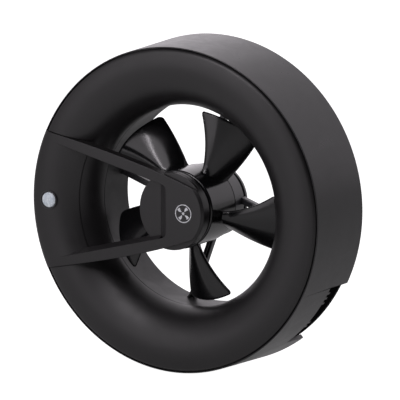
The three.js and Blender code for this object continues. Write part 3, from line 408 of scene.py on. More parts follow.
def carve(piece, tools, operation="DIFFERENCE"):
    """Cuts the tools out of the piece, or keeps what they share, and deletes the tools."""
    for tool in tools:
        modifier = piece.modifiers.new("carve", "BOOLEAN")
        modifier.solver = "EXACT"
        modifier.operation = operation
        modifier.object = tool
    settle(piece)
    for tool in tools:
        bpy.data.objects.remove(tool)
    return piece


def together(pieces):
    """One piece that holds the meshes of several."""
    whole = bmesh.new()
    for piece in pieces:
        whole.from_mesh(piece.data)
    mesh = bpy.data.meshes.new("solid")
    whole.to_mesh(mesh)
    whole.free()
    for piece in pieces[1:]:
        bpy.data.objects.remove(piece)
    pieces[0].data = mesh
    return pieces[0]


def smooth(piece, sharp_angle=32):
    piece.data.shade_smooth()
    piece.data.set_sharp_from_angle(angle=math.radians(sharp_angle))
    weighted = piece.modifiers.new("normals", "WEIGHTED_NORMAL")
    weighted.keep_sharp = True


def stand_for(piece, node, sharp_angle=32):
    """Shows the piece in place of a CAD node, on the same body and with the same finish."""
    piece.name = node + "_detail"
    smooth(piece, sharp_angle)
    piece.data.materials.clear()
    piece.data.materials.append(FINISHES[SLOT_OF[node]])
    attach(piece, BODY_OF[node])
    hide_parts(node)


# ---- materials ----

def add_node(tree, kind, inputs=None, **settings):
    node = tree.nodes.new("ShaderNode" + kind)
    for name, value in settings.items():
        setattr(node, name, value)
    for name, value in (inputs or {}).items():
        if isinstance(value, bpy.types.NodeSocket):
            tree.links.new(value, node.inputs[name])
        else:
            node.inputs[name].default_value = value
    return node


def new_material(name, **values):
    """A material, its node tree, its shader and its object coordinates."""
    material = bpy.data.materials.new(name)
    material.use_nodes = True
    tree = material.node_tree
    shader = tree.nodes["Principled BSDF"]
    for socket, value in values.items():
        shader.inputs[socket.replace("_", " ")].default_value = value
    coordinates = add_node(tree, "TexCoord").outputs
    return material, tree, shader, coordinates


def noise(tree, vector, feature, detail=3.0, roughness=0.55, distortion=0.0):
    """Noise whose features are about so many millimetres across."""
    settings = {"Vector": vector, "Scale": 1 / (feature * MM), "Detail": detail, "Roughness": roughness,
                "Distortion": distortion}
    return add_node(tree, "TexNoise", settings).outputs["Fac"]


def remap(tree, value, from_range, to_range):
    return add_node(tree, "MapRange", {
        "Value": value, "From Min": from_range[0], "From Max": from_range[1],
        "To Min": to_range[0], "To Max": to_range[1]}).outputs["Result"]


def blend_colors(tree, share, first, second):
    node = add_node(tree, "Mix", data_type="RGBA")
    for index, value in ((6, first), (7, second)):
        if isinstance(value, bpy.types.NodeSocket):
            tree.links.new(value, node.inputs[index])
        else:
            node.inputs[index].default_value = (*value, 1)
    tree.links.new(share, node.inputs[0])
    return node.outputs[2]


def bump(tree, layers):
    """A normal from (height, strength, depth in millimetres) layers, each on top of the last."""
    normal = None
    for height, strength, depth in layers:
        inputs = {"Height": height, "Strength": strength, "Distance": depth * MM}
        if normal:
            inputs["Normal"] = normal
        normal = add_node(tree, "Bump", inputs).outputs["Normal"]
    return normal


def scaled(color, factor):
    return tuple(min(channel * factor, 1) for channel in color)


def plastic(name, color, roughness, grain=0.35, grain_depth=0.012, dust=0.03, **values):
    """Moulded plastic: a fine eroded grain, drifting tone, duller smears, paler edges and a film of dust."""
    material, tree, shader, coordinates = new_material(name, **values)
    place = coordinates["Object"]
    drift = remap(tree, noise(tree, place, 30), (0.3, 0.7), (0, 1))
    speck = remap(tree, noise(tree, place, 0.6, detail=2), (0.35, 0.65), (0, 1))
    tone = blend_colors(tree, drift, scaled(color, 0.86), scaled(color, 1.14))
    tone = blend_colors(tree, remap(tree, speck, (0, 1), (0, 0.25)), tone, scaled(color, 1.5))
    edge = add_node(tree, "NewGeometry").outputs["Pointiness"]
    tone = blend_colors(tree, remap(tree, edge, (0.51, 0.62), (0, 0.25)), tone, scaled(color, 2.6))
    upward = add_node(tree, "SeparateXYZ", {"Vector": coordinates["Normal"]}).outputs["Z"]
    settled = add_node(tree, "Math", {0: remap(tree, upward, (0.35, 1), (0, dust)),
                                      1: noise(tree, place, 4, detail=6, roughness=0.7)},
                       operation="MULTIPLY").outputs[0]
    tone = blend_colors(tree, settled, tone, (0.42, 0.41, 0.39))
    tree.links.new(tone, shader.inputs["Base Color"])
    smears = noise(tree, place, 14, detail=5, roughness=0.65, distortion=1.2)
    gloss = remap(tree, smears, (0.3, 0.7), (roughness - 0.035, roughness + 0.05))
    tree.links.new(gloss, shader.inputs["Roughness"])
    coarse = noise(tree, place, grain, detail=2, roughness=0.6)
    ripple = noise(tree, place, 18, detail=1)
    tree.links.new(bump(tree, [(ripple, 0.25, 0.12), (coarse, 0.5, grain_depth)]), shader.inputs["Normal"])
    return material


def metal(name, color, roughness, streak=(1, 1, 1), wear=0.3, **values):
    """Metal with fine tool marks that run along the streak's short directions, and dull spots."""
    material, tree, shader, coordinates = new_material(name, Metallic=1.0, **values)
    stretched = add_node(tree, "Mapping", {"Vector": coordinates["Object"], "Scale": streak}).outputs[0]
    marks = noise(tree, stretched, 0.5, detail=4, roughness=0.7)
    spots = noise(tree, coordinates["Object"], 3, detail=5, roughness=0.7)
    tone = blend_colors(tree, remap(tree, marks, (0.3, 0.7), (0, 1)), scaled(color, 0.82),
                        scaled(color, 1.1))
    tone = blend_colors(tree, remap(tree, spots, (0.55, 0.75), (0, wear)), tone, scaled(color, 0.45))
    tree.links.new(tone, shader.inputs["Base Color"])
    gloss = remap(tree, spots, (0.3, 0.75), (roughness - 0.06, roughness + 0.16))
    tree.links.new(gloss, shader.inputs["Roughness"])
    tree.links.new(bump(tree, [(marks, 0.3, 0.02)]), shader.inputs["Normal"])
    return material


def layered_metal(name, pale, dark, pitch, roughness=0.45):
    """Stacked sheets or wound wire: bands along the fan's axis, with grooves between them."""
    material, tree, shader, coordinates = new_material(name, Metallic=0.9)
    bands = add_node(tree, "TexWave", {
        "Vector": coordinates["Object"], "Scale": 1 / (pitch * MM * 2 * math.pi) * 2,
        "Distortion": 0.6, "Detail": 1.0, "Detail Scale": 200.0}, bands_direction="Y").outputs["Fac"]
    patches = noise(tree, coordinates["Object"], 4, detail=4)
    tone = blend_colors(tree, bands, dark, pale)
    tone = blend_colors(tree, remap(tree, patches, (0.4, 0.7), (0, 0.35)), tone, scaled(pale, 0.6))
    tree.links.new(tone, shader.inputs["Base Color"])
    gloss = remap(tree, patches, (0.3, 0.7), (roughness - 0.08, roughness + 0.1))
    tree.links.new(gloss, shader.inputs["Roughness"])
    tree.links.new(bump(tree, [(bands, 0.7, pitch * 0.3)]), shader.inputs["Normal"])
    return material


def circuit_board(name):
    """Green solder mask over a web of copper tracks."""
    material, tree, shader, coordinates = new_material(name, Specular_IOR_Level=0.45)
    place = coordinates["Object"]
    cells = add_node(tree, "TexVoronoi", {"Vector": place, "Scale": 1 / (5 * MM), "Randomness": 0.55},
                     feature="DISTANCE_TO_EDGE", distance="MANHATTAN").outputs["Distance"]
    tracks = remap(tree, cells, (0.05, 0.09), (1, 0))
    weave = noise(tree, place, 0.8, detail=2)
    tone = blend_colors(tree, remap(tree, weave, (0.3, 0.7), (0, 1)), (0.012, 0.085, 0.035),
                        (0.02, 0.125, 0.05))
    tone = blend_colors(tree, tracks, tone, (0.05, 0.23, 0.09))
    tree.links.new(tone, shader.inputs["Base Color"])
    tree.links.new(remap(tree, weave, (0.3, 0.7), (0.26, 0.4)), shader.inputs["Roughness"])
    tree.links.new(bump(tree, [(tracks, 0.5, 0.04), (weave, 0.2, 0.02)]), shader.inputs["Normal"])
    return material


def lens_plastic(name):
    """Milky plastic moulded in small facets, a little darker at their joints."""
    material, tree, shader, coordinates = new_material(name, Specular_IOR_Level=0.6, Coat_Weight=0.35)
    shader.inputs["Coat Roughness"].default_value = 0.12
    place = coordinates["Object"]
    facets = add_node(tree, "TexVoronoi", {"Vector": place, "Scale": 1 / (1.9 * MM), "Randomness": 0.35},
                      feature="DISTANCE_TO_EDGE").outputs["Distance"]
    joints = remap(tree, facets, (0.0, 0.16), (1, 0))
    cloud = noise(tree, place, 2.2, detail=3)
    tone = blend_colors(tree, remap(tree, cloud, (0.35, 0.65), (0, 1)), (0.56, 0.64, 0.7),
                        (0.78, 0.84, 0.88))
    tone = blend_colors(tree, remap(tree, joints, (0, 1), (0, 0.45)), tone, (0.36, 0.41, 0.46))
    tree.links.new(tone, shader.inputs["Base Color"])
    tree.links.new(remap(tree, cloud, (0.3, 0.7), (0.3, 0.42)), shader.inputs["Roughness"])
    tree.links.new(bump(tree, [(facets, 0.6, 0.25)]), shader.inputs["Normal"])
    return material


def print_ink(name):
    """Pale printed ink with pinholes."""
    material, tree, shader, coordinates = new_material(name, Specular_IOR_Level=0.3)
    pinholes = noise(tree, coordinates["Object"], 0.5, detail=3)
    tone = blend_colors(tree, remap(tree, pinholes, (0.4, 0.72), (0, 1)), (0.7, 0.72, 0.74),
                        (0.4, 0.41, 0.43))
    tree.links.new(tone, shader.inputs["Base Color"])
    tree.links.new(remap(tree, pinholes, (0.3, 0.7), (0.5, 0.65)), shader.inputs["Roughness"])
    tree.links.new(bump(tree, [(pinholes, 0.3, 0.01)]), shader.inputs["Normal"])
    return material


FINISHES = {
    "front": plastic("front_plastic", (0.0078, 0.0072, 0.0078), 0.4, dust=0.012),
    "shell": plastic("shell_plastic", (0.0095, 0.009, 0.0102), 0.3, dust=0.015),
    # Inner plastic: black like the rest, but set darker than the shell as painted shade inside the housing,
    # seen through the cable notch
    "inner": plastic("inner_plastic_painted_shade", (0.006, 0.006, 0.0065), 0.85, grain=0.5, dust=0.01,
                     Specular_IOR_Level=0.12),
    "tube": plastic("tube_plastic", (0.006, 0.006, 0.0065), 0.45, grain=0.6, dust=0,
                    Specular_IOR_Level=0.3),
    "motor": plastic("motor_plastic", (0.03, 0.03, 0.033), 0.3, grain=0.5, dust=0),
    "blade": plastic("blade_plastic", (0.0045, 0.0045, 0.005), 0.17, grain=0.9, grain_depth=0.006,
                     dust=0),
    "lens": lens_plastic("lens_plastic"),
    "board": circuit_board("circuit_board"),
    "component": plastic("component_plastic", (0.018, 0.018, 0.02), 0.42, grain=0.3, dust=0.03),
    "terminal": plastic("terminal_plastic", (0.06, 0.16, 0.09), 0.4, grain=0.4, dust=0.03),
    "lead": plastic("lead_jacket", (0.012, 0.012, 0.013), 0.5, grain=0.2, dust=0),
    "rubber": plastic("grommet_rubber", (0.016, 0.016, 0.016), 0.72, grain=0.25, grain_depth=0.03,
                      dust=0.08),
    "steel": metal("plated_steel", (0.58, 0.58, 0.6), 0.3, streak=(1, 6, 1)),
    "laminate": layered_metal("core_laminate", (0.32, 0.32, 0.33), (0.08, 0.08, 0.085), 0.5),
    "copper": layered_metal("coil_wire", (0.6, 0.23, 0.09), (0.18, 0.06, 0.03), 0.4, roughness=0.3),
    "brass": metal("terminal_brass", (0.62, 0.47, 0.19), 0.28, streak=(1, 6, 1)),
    "magnet": metal("sintered_magnet", (0.09, 0.09, 0.095), 0.55, wear=0.6),
}
INK = print_ink("mark_ink")


# ---- bellmouth and arm surfaces ----

def bell_point(offset, angle):
    """A point of the ring's section, grown by offset. 0 degrees is the throat, 90 the crest."""
    turn = math.radians(angle)
    return Vector((CREST_RADIUS - (BELL_WIDE + offset) * math.cos(turn),
                   BELL_CENTRE_Y - (BELL_DEEP + offset) * math.sin(turn)))


def bell_arc(offset, start, end, steps):
    return [bell_point(offset, mix(start, end, k / steps)) for k in range(steps + 1)]


def bell_front(offset, start, edge_radius):
    """The section's front from an angle out to its rounded edge at a radius."""
    def slope_at(angle):
        turn = math.radians(angle)
        return math.atan2(-(BELL_DEEP + offset) * math.cos(turn), (BELL_WIDE + offset) * math.sin(turn))

    end = 90
    while bell_point(offset, end).x + RING_EDGE_ROUND * (1 - math.sin(slope_at(end))) < edge_radius:
        end += 0.05
    arc = bell_arc(offset, start, end, BELL_STEPS)
    slope = slope_at(end)
    centre = arc[-1] + Vector((-math.sin(slope), math.cos(slope))) * RING_EDGE_ROUND
    for k in range(RING_EDGE_STEPS):
        turn = mix(slope, math.pi / 2, (k + 1) / RING_EDGE_STEPS)
        arc.append(centre + Vector((math.sin(turn), -math.cos(turn))) * RING_EDGE_ROUND)
    return arc


def bezier(start, bend, end, share):
    return start.lerp(bend, share).lerp(bend.lerp(end, share), share)


def arm_edge(grow):
    """The arm's upper edge from beyond the ring to the centre, in XZ."""
    steps = 60
    lift = Vector((0, grow))
    far = Vector((-ARM_OUTER_POINT.length - 2, ARM_OUTER_POINT.y + 2.5))
    curve = [bezier(ARM_OUTER_POINT, ARM_BEND_POINT, ARM_HUB_POINT, k / steps) for k in range(steps + 1)]
    return [point + lift for point in [far * 1.05, far, *curve]]


def edge_angle(radius, edge):
    """The angle at which the arm's upper edge crosses a radius."""
    for outer, inner in zip(edge, edge[1:]):
        if outer.length >= radius >= inner.length:
            spot = outer.lerp(inner, (outer.length - radius) / (outer.length - inner.length))
            return math.degrees(math.atan2(spot.y, spot.x))
    raise ValueError("the arm's edge doesn't reach radius %g" % radius)


def arm_sheet(top, bottom, grow, edge_round=0.0):
    """A solid between two rows of (radius, y) points, bounded by the arm's two edges."""
    edge = arm_edge(grow)
    drops = []
    for k in range(ARM_EDGE_COLUMNS + 1 if edge_round else 1):
        turn = math.radians(90 * k / ARM_EDGE_COLUMNS)
        drops.append((edge_round * (1 - math.cos(turn)), edge_round * (1 - math.sin(turn))))
    outline = top + bottom[::-1]
    rows = []
    for i, point in enumerate(outline):
        start = edge_angle(point.x, edge)
        on_top = i < len(top)
        neighbours = outline[max(i - 1, 0)], outline[min(i + 1, len(top) - 1)]
        along = (neighbours[1] - neighbours[0]).normalized() if on_top else Vector((0, 0))
        inwards = Vector((-along.y, along.x))
        row = []
        near = [(start + math.degrees(distance / point.x), drop) for distance, drop in drops]
        span_left = 180 - near[-1][0]
        spread = [(180 + span_left * (2 * k / ARM_COLUMNS - 1), 0) for k in range(1, ARM_COLUMNS)]
        for angle, drop in near + spread + [(360 - angle, drop) for angle, drop in near[::-1]]:
            moved = point + inwards * drop
            spot = polar(moved.x, angle)
            row.append((spot.x, moved.y, spot.y))
        rows.append(row)
    count = len(rows[0])
    flat = [point for row in rows for point in row]
    faces = []
    for i in range(len(rows)):
        i_next = (i + 1) % len(rows)
        for k in range(count - 1):
            faces.append((i * count + k, i * count + k + 1, i_next * count + k + 1, i_next * count + k))
    for i in range(len(top) - 1):
        low, low_next = len(rows) - 1 - i, len(rows) - 2 - i
        for column in (0, count - 1):
            faces.append(tuple(row * count + column for row in (i, i + 1, low_next, low)))
    return solid(flat, faces)


def window_edge(x):
    return WINDOW_HALF_AT_AXIS - WINDOW_SLOPE * x


def window_outline(far_x):
    """The arm's window from the front, with rounded corners at its end."""
    steps = 8
    upper = [Vector((far_x, window_edge(far_x)))]
    start_x = WINDOW_END_X - WINDOW_CORNER
    start = Vector((start_x, window_edge(start_x)))
    corner = Vector((WINDOW_END_X, window_edge(WINDOW_END_X)))
    end = Vector((WINDOW_END_X, corner.y - WINDOW_CORNER))
    upper += [bezier(start, corner, end, k / steps) for k in range(steps + 1)]
    return upper + [Vector((point.x, -point.y)) for point in upper[::-1]]


# ---- front panel ----

def front_ring():
    profile = bell_front(0, 0, RING_EDGE_RADIUS)
    shelf = SHELL_SHELF_Y - GAP
    outer = [(RING_EDGE_RADIUS, shelf), (SKIRT_RADIUS, shelf), (SKIRT_RADIUS, ring_high.y, 0.4),
             (SKIRT_RADIUS - SKIRT_WALL, ring_high.y, 0.4)]
    hidden = bell_arc(-RING_WALL, 0, RING_BACK_END_ANGLE, 40)[::-1]
    outline = profile + rounded([profile[-1], *outer, hidden[0]])[1:-1] + hidden
    ring = turned(outline, RING_SIDES)
    carve(ring, [arm_recess()])
    return ring


def arm_recess():
    """What the ring lacks under the arm's layer."""
    above, steps = 3, 40
    start = ARM_SEARCH_ANGLE
    while bell_point(-ARM_LAYER, start).x < ARM_INNER_RADIUS - SEAM:
        start += 0.1
    end = 90
    depth = ARM_LAYER - ARM_PROUD + GAP
    while bell_point(-depth, end).y < ARM_END_REAR_Y + GAP:
        end += 0.1
    bottom = bell_arc(-depth, start, end, steps)
    top = [Vector((point.x, ring_low.y - above)) for point in bottom]
    bottom.append(Vector((RING_EDGE_RADIUS + 2, ARM_END_REAR_Y + GAP)))
    top.append(Vector((RING_EDGE_RADIUS + 2, ring_low.y - above)))
    return arm_sheet(top, bottom, SEAM)


def arm_layer():
    """The arm's outer part, a thin layer over the ring."""
    start = ARM_SEARCH_ANGLE
    while bell_point(ARM_PROUD, start).x < ARM_INNER_RADIUS:
        start += 0.1
    top = bell_front(ARM_PROUD, start, ARM_END_RADIUS)
    top.append(Vector((ARM_END_RADIUS, ARM_END_REAR_Y)))
    top[0] = top[0] + Vector((0.1, 0.25))
    bottom = bell_arc(ARM_PROUD - ARM_LAYER, start, ARM_BACK_END_ANGLE, len(top) - 1)
    return arm_sheet(top, bottom, 0, edge_round=0.35)


def arm_bars():
    """The two bars and the flat face at the centre, as one U-shaped plate."""
    upper = [point for point in arm_edge(-0.02) if point.length <= ARM_BAR_END_RADIUS]
    lower = [Vector((point.x, -point.y)) for point in upper[::-1]]
    half = math.degrees(math.atan2(upper[-1].y, upper[-1].x))
    face_end = [polar(upper[-1].length, half * (1 - k / 24)) for k in range(1, 48)]
    far_x = -ARM_BAR_END_RADIUS
    while math.hypot(far_x, window_edge(far_x)) > ARM_BAR_END_RADIUS:
        far_x += 0.05
    window = window_outline(far_x)
    return prism(upper + face_end + lower + window[::-1], arm_low.y, ARM_REAR_Y, front_edge=0.4)


def bell_body():
    """The room that the ring takes up, with a gap round it."""
    return turned([*bell_arc(GAP, 0, 120, 60), Vector((CREST_RADIUS, BELL_CENTRE_Y))])


def bar_slope():
    """The lower bar's upper side, which leans into the window towards the rear."""
    front, rear = arm_low.y + 0.8, ARM_REAR_Y - 0.05
    sections = []
    for x in (BAR_SLOPE_START_X, WINDOW_FOOT_X + 1):
        edge = -window_edge(x)
        sections.append([(x, front, edge - 0.3), (x, front, edge + 0.05), (x, rear, edge + BAR_LEAN),
                         (x, rear, edge - 0.3)])
    return grid(sections)


def arm_frame():
    past = 3
    face = arm_low.y
    crown = turned(rounded([(0, CAP_CROWN_Y), (CAP_RADIUS, CAP_SHOULDER_Y, 0.5),
                            (CAP_RADIUS, cap_low.y - GAP, 0.2), (0, cap_low.y - GAP)]), CAP_SIDES)
    envelope = turned(rounded([
        (CAP_FACE_RADIUS, face - past), (CAP_FACE_RADIUS, face, 0.5),
        (CAP_RADIUS, face + CAP_BEVEL_DEPTH, 0.5), (CAP_RADIUS, ARM_REAR_Y + past),
        (CAP_RADIUS * 1.6, ARM_REAR_Y + past), (CAP_RADIUS * 1.6, face - past)]), CAP_SIDES)
    right_side = block((-2, 60), (face - 2 * past, ARM_REAR_Y + 2 * past), (-60, 60), edge=0)
    carve(envelope, [right_side], "INTERSECT")
    bars = carve(arm_bars(), [bell_body(), envelope])
    carve(crown, [prism(window_outline(-40), face - past, ARM_REAR_Y + past)])
    slope = carve(bar_slope(), [bell_body()])
    return together([arm_layer(), bars, slope, crown, window_end(), *arm_bosses()])


def window_end():
    """The slope from the arm's face down to the centre cap."""
    half = window_edge(WINDOW_FOOT_X) - 0.3
    foot, head = cap_low.y - GAP, arm_low.y + 0.02
    section = rounded([(WINDOW_FOOT_X, foot), (WINDOW_END_X + 0.2, foot), (WINDOW_END_X + 0.2, head),
                       (WINDOW_END_X, head, 0.6)])
    rows = [[(point.x, point.y, z) for point in section] for z in (-half, half)]
    return grid(rows)


def arm_bosses():
    """The tubes behind the arm that its screws go into."""
    front, rear = arm_low.y + 1, arm_high.y
    outline = rounded([(ARM_BOSS_BORE, rear), (ARM_BOSS_RADIUS, rear, 0.3), (ARM_BOSS_RADIUS, front),
                       (ARM_BOSS_BORE, front)])
    return [turned(outline, SMALL_SIDES, polar(CREST_RADIUS, angle)) for angle in ARM_BOSS_ANGLES]


def hub_cover():
    inner_radius, inner_front = CAP_RADIUS - CAP_WALL, cap_low.y + CAP_WALL
    return turned(rounded([
        (0, cap_low.y), (CAP_RADIUS, cap_low.y, 0.35), (CAP_RADIUS, cap_high.y, 0.35),
        (inner_radius, cap_high.y, 0.3), (inner_radius, inner_front, 0.5), (0, inner_front)]), CAP_SIDES)


def printed_mark():
    """A small fan sign: four blades round a dot, inside a thin ring."""
    front, rear = arm_low.y - 0.05, arm_low.y + 0.3
    bore = SIGN_RADIUS - SIGN_LINE
    outline = [(bore, front), (SIGN_RADIUS, front), (SIGN_RADIUS, rear), (bore, rear)]
    pieces = [turned(outline, 96, SIGN_CENTRE), rod(SIGN_DOT_RADIUS, front, rear, SIGN_CENTRE)]
    for turn in SIGN_BLADE_TURNS:
        start, end = Vector((1.2, -0.1)), Vector((3.9, -0.7))
        lead = [bezier(start, Vector((2.2, 1.6)), Vector((4.1, 1.2)), k / 10) for k in range(11)]
        trail = [bezier(end, Vector((2.6, 0.1)), start, k / 10) for k in range(10)]
        pieces.append(prism(rotated(lead + trail, turn, SIGN_CENTRE), front, rear))
    mark = together(pieces)
    mark.name = "fan_sign"
    smooth(mark)
    mark.data.materials.append(INK)
    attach(mark, BODY_OF["arm_frame"])


def sensor_pieces():
    low, high = span("sensor_lens")
    radius = half_width("sensor_lens")
    at = across("sensor_lens")
    dome = [(radius * math.sin(math.radians(a)), low.y + LENS_DOME_DEPTH * (1 - math.cos(math.radians(a))))
            for a in range(0, 91, 6)]
    stand_for(turned([*dome, (radius, high.y), (0, high.y)], LENS_SIDES, at), "sensor_lens")
    low, high = span("sensor_bezel")
    bore, bezel_radius = radius + BEZEL_GAP, half_width("sensor_bezel")
    outline = rounded([(bore, low.y, 0.1), (bezel_radius, low.y, 0.25), (bezel_radius, high.y),
                       (bore, high.y)])
    stand_for(turned(outline, LENS_SIDES, at), "sensor_bezel")


# ---- housing ----

def outer_shell():
    """The tapered wall, with a toothed cable notch in its rear edge and a lug for each screw."""
    low, rear = shell_low.y, shell_high.y
    body = turned(rounded([
        (SHELL_FRONT_RADIUS - SHELL_LIP, low, 0.15), (SHELL_FRONT_RADIUS, low, 0.3),
        (SHELL_RADIUS, rear, 0.5), (SHELL_RADIUS - SHELL_WALL, rear, 0.3),
        (SHELL_FRONT_RADIUS - SHELL_WALL, SHELL_SHELF_Y),
        (SHELL_FRONT_RADIUS - SHELL_LIP, SHELL_SHELF_Y)]), SHELL_SIDES)
    front = -NOTCH_DEPTH
    teeth = [sector(*NOTCH_TOOTH_CUT_RADII, angle - NOTCH_TOOTH_HALF_ANGLE, angle + NOTCH_TOOTH_HALF_ANGLE,
                    front - 1, front + NOTCH_TOOTH_HEIGHT) for angle in NOTCH_TOOTH_ANGLES]
    carve(body, [carve(sector(*NOTCH_CUT_RADII, NOTCH_FROM, NOTCH_TO, front, 1), teeth)])
    lugs = [block(LUG_RADII, (LUG_FRONT_Y, -PLATE_THICKNESS - GAP), LUG_SIDES, angle)
            for angle in LUG_ANGLES]
    return together([body, *lugs])


def back_plate():
    body = turned(rounded([
        (PLATE_HOLE_RADIUS, -PLATE_THICKNESS, 0.3), (PLATE_RADIUS, -PLATE_THICKNESS, 0.3),
        (PLATE_RADIUS, 0, 0.4), (PLATE_HOLE_RADIUS, 0, 0.4)]))
    holes = [rod(WALL_HOLE_RADIUS, -4, 1, polar(WALL_HOLE_CIRCLE, angle)) for angle in WALL_HOLE_ANGLES]
    holes += [rod(SHELL_SCREW_HOLE_RADIUS, -2, 1, polar(LUG_SCREW_RADIUS, angle)) for angle in LUG_ANGLES]
    holes.append(rod(CABLE_ENTRY_RADIUS, -4, 1, across("cable_grommet")))
    carve(body, holes)
    ribs = [sector(PLATE_RIB_RADIUS - PLATE_RIB_HALF_WIDTH, PLATE_RIB_RADIUS + PLATE_RIB_HALF_WIDTH,
                   angle + PLATE_RIB_MARGIN, angle + 90 - PLATE_RIB_MARGIN,
                   -PLATE_THICKNESS - PLATE_RIB_HEIGHT, -PLATE_THICKNESS + 0.1, 0.3)
            for angle in LUG_ANGLES]
    return together([body, *ribs, *plate_posts()])


def plate_posts():
    """The posts under the board's screws and under the cable clamp's ends."""
    board_rear = span("main_board")[1].y + GAP
    posts = []
    for kind, radius, front in (("board_screw", BOARD_POST_RADIUS, board_rear),
                                ("clamp_screw", CLAMP_POST_RADIUS, CLAMP_POST_FRONT_Y)):
        for number in (1, 2):
            posts.append(rod(radius, front, -PLATE_THICKNESS + POST_OVERLAP, across(f"{kind}_{number}"), 0.3))
    return posts


def tube_bore(y):
    """The tube's inner radius at a depth."""
    return mix(THROAT_RADIUS, COLLAR_BORE_RADIUS, (y - tube_low.y) / (tube_high.y - tube_low.y))


def duct_tube():
    """The tube round the blades, with a screwed flange and a collar that enters the duct."""
    flange_rear = -PLATE_THICKNESS - GAP
    flange_radius = tube_high.x
    body = turned(rounded([
        (THROAT_RADIUS, tube_low.y, 0.6), (THROAT_RADIUS + TUBE_WALL, tube_low.y, 0.6),
        (tube_bore(FLANGE_FRONT_Y) + TUBE_WALL, FLANGE_FRONT_Y, 0.8), (flange_radius, FLANGE_FRONT_Y, 0.4),
        (flange_radius, flange_rear, 0.3), (COLLAR_BORE_RADIUS + TUBE_WALL, flange_rear, 0.3),
        (COLLAR_BORE_RADIUS + TUBE_WALL, tube_high.y, 0.6), (COLLAR_BORE_RADIUS, tube_high.y, 0.6)]))
    return carve(body, [rod(TUBE_SCREW_HOLE_RADIUS, -8, 0, polar(TUBE_SCREW_CIRCLE, angle))
                        for angle in TUBE_SCREW_ANGLES])


def strut(index):
    angle = FIRST_STRUT_ANGLE + index * 360 / STRUT_COUNT
    near = polar(BARREL_REAR_RADIUS - 0.8, angle)
    far = polar(COLLAR_BORE_RADIUS + 1, angle + STRUT_SWEEP)
    side = (far - near).orthogonal().normalized() * STRUT_WIDTH / 2
    return prism([near - side, far - side, far + side, near + side], STRUT_FRONT_Y, STRUT_REAR_Y, 0.7, 0.5)


def motor_carrier():
    """The barrel round the motor, with a groove at its rear edge, and its struts."""
    floor_front = BARREL_REAR_Y - BARREL_FLOOR
    seam_front = BARREL_REAR_Y - BARREL_SEAM_WIDTH
    seam_radius = BARREL_REAR_RADIUS - BARREL_SEAM_DEPTH
    cup = turned(rounded([
        (BARREL_FRONT_RADIUS - BARREL_WALL, BARREL_FRONT_Y, 0.3), (BARREL_FRONT_RADIUS, BARREL_FRONT_Y, 0.5),
        (BARREL_REAR_RADIUS, seam_front, 0.2), (seam_radius, seam_front), (seam_radius, BARREL_REAR_Y),
        (BARREL_FLOOR_BORE, BARREL_REAR_Y), (BARREL_FLOOR_BORE, floor_front),
        (BARREL_REAR_RADIUS - BARREL_WALL, floor_front)]), BARREL_SIDES)
    bore = turned([(0, tube_low.y), (tube_bore(tube_low.y) - GAP, tube_low.y),
                   (tube_bore(tube_high.y) - GAP, tube_high.y), (0, tube_high.y)])
    struts = carve(together([strut(i) for i in range(STRUT_COUNT)]), [bore], "INTERSECT")
    return together([cup, struts])


def motor_rear_cap():
    front, rear = motor_cap_low.y, motor_cap_high.y
    inner_radius, inner_rear = BARREL_REAR_RADIUS - BARREL_WALL, rear - BARREL_WALL
    return turned(rounded([
        (0, rear), (BARREL_REAR_RADIUS - 0.4, rear, 3.2), (BARREL_REAR_RADIUS, front, 0.2),
        (inner_radius, front), (inner_radius, inner_rear, 2), (0, inner_rear)], 10), BARREL_SIDES)


def kind_of(node):
    """The node's name without its number."""
    return node.rsplit("_", 1)[0]


def cross_head_screw(node):
    """A domed head with a cross recess on a shank, as wide and as long as the CAD screw."""
    low, high = span(node)
    head_radius = half_width(node)
    at = across(node)
    top, tip, way = (low.y, high.y, 1) if HEAD_IN_FRONT[kind_of(node)] else (high.y, low.y, -1)
    seat = top + way * SCREW_HEAD_HEIGHT
    shank = head_radius * SCREW_SHANK_SHARE
    outline = rounded([(0, top), (head_radius, top + way * SCREW_DOME_HEIGHT, 0.6),
                       (head_radius, seat, 0.15), (shank, seat), (shank, tip, 0.4), (0, tip)])
    screw = turned(outline, 48, at)
    half = head_radius * SCREW_CROSS_HALF_WIDTH_SHARE
    reach = head_radius * SCREW_CROSS_REACH_SHARE
    depth = sorted((top - way, top + way * SCREW_CROSS_DEPTH))
    cross = [block((-reach, reach), depth, (-half, half), turn, 0, at) for turn in SCREW_CROSS_TURNS]
    return carve(screw, cross)


# ---- electrics ----

def grommet():
    low, high = span("cable_grommet")
    flange, neck = half_width("cable_grommet"), GROMMET_NECK_RADIUS
    plate_front, web_rear = -PLATE_THICKNESS - GAP, low.y + GROMMET_WEB
    return turned(rounded([
        (GROMMET_BORE, low.y, 0.4), (flange, low.y, 0.6), (flange, plate_front, 0.3), (neck, plate_front),
        (neck, high.y, 0.3), (neck - GROMMET_WALL, high.y, 0.3), (neck - GROMMET_WALL, web_rear),
        (GROMMET_BORE, web_rear)]), 96, across("cable_grommet"))


def capacitor():
    """A can with a sunk top and a crimped groove near its foot."""
    low, high = span("smoothing_capacitor")
    radius = half_width("smoothing_capacitor")
    return turned(rounded([
        (0, low.y + 0.2), (radius * 0.72, low.y + 0.2, 0.2), (radius * 0.8, low.y, 0.2),
        (radius, low.y, 0.5),
        (radius, high.y - 2.4, 0.3), (radius * 0.93, high.y - 2, 0.3), (radius, high.y - 1.6, 0.3),
        (radius, high.y, 0.4), (0, high.y)]), 72, across("smoothing_capacitor"))


def bevel_edges(piece):
    modifier = piece.modifiers.new("edges", "BEVEL")
    modifier.width = BEVEL_WIDTH * MM
    modifier.segments = 2
    modifier.limit_method = "ANGLE"
    modifier.angle_limit = math.radians(40)


# ---- rotor ----

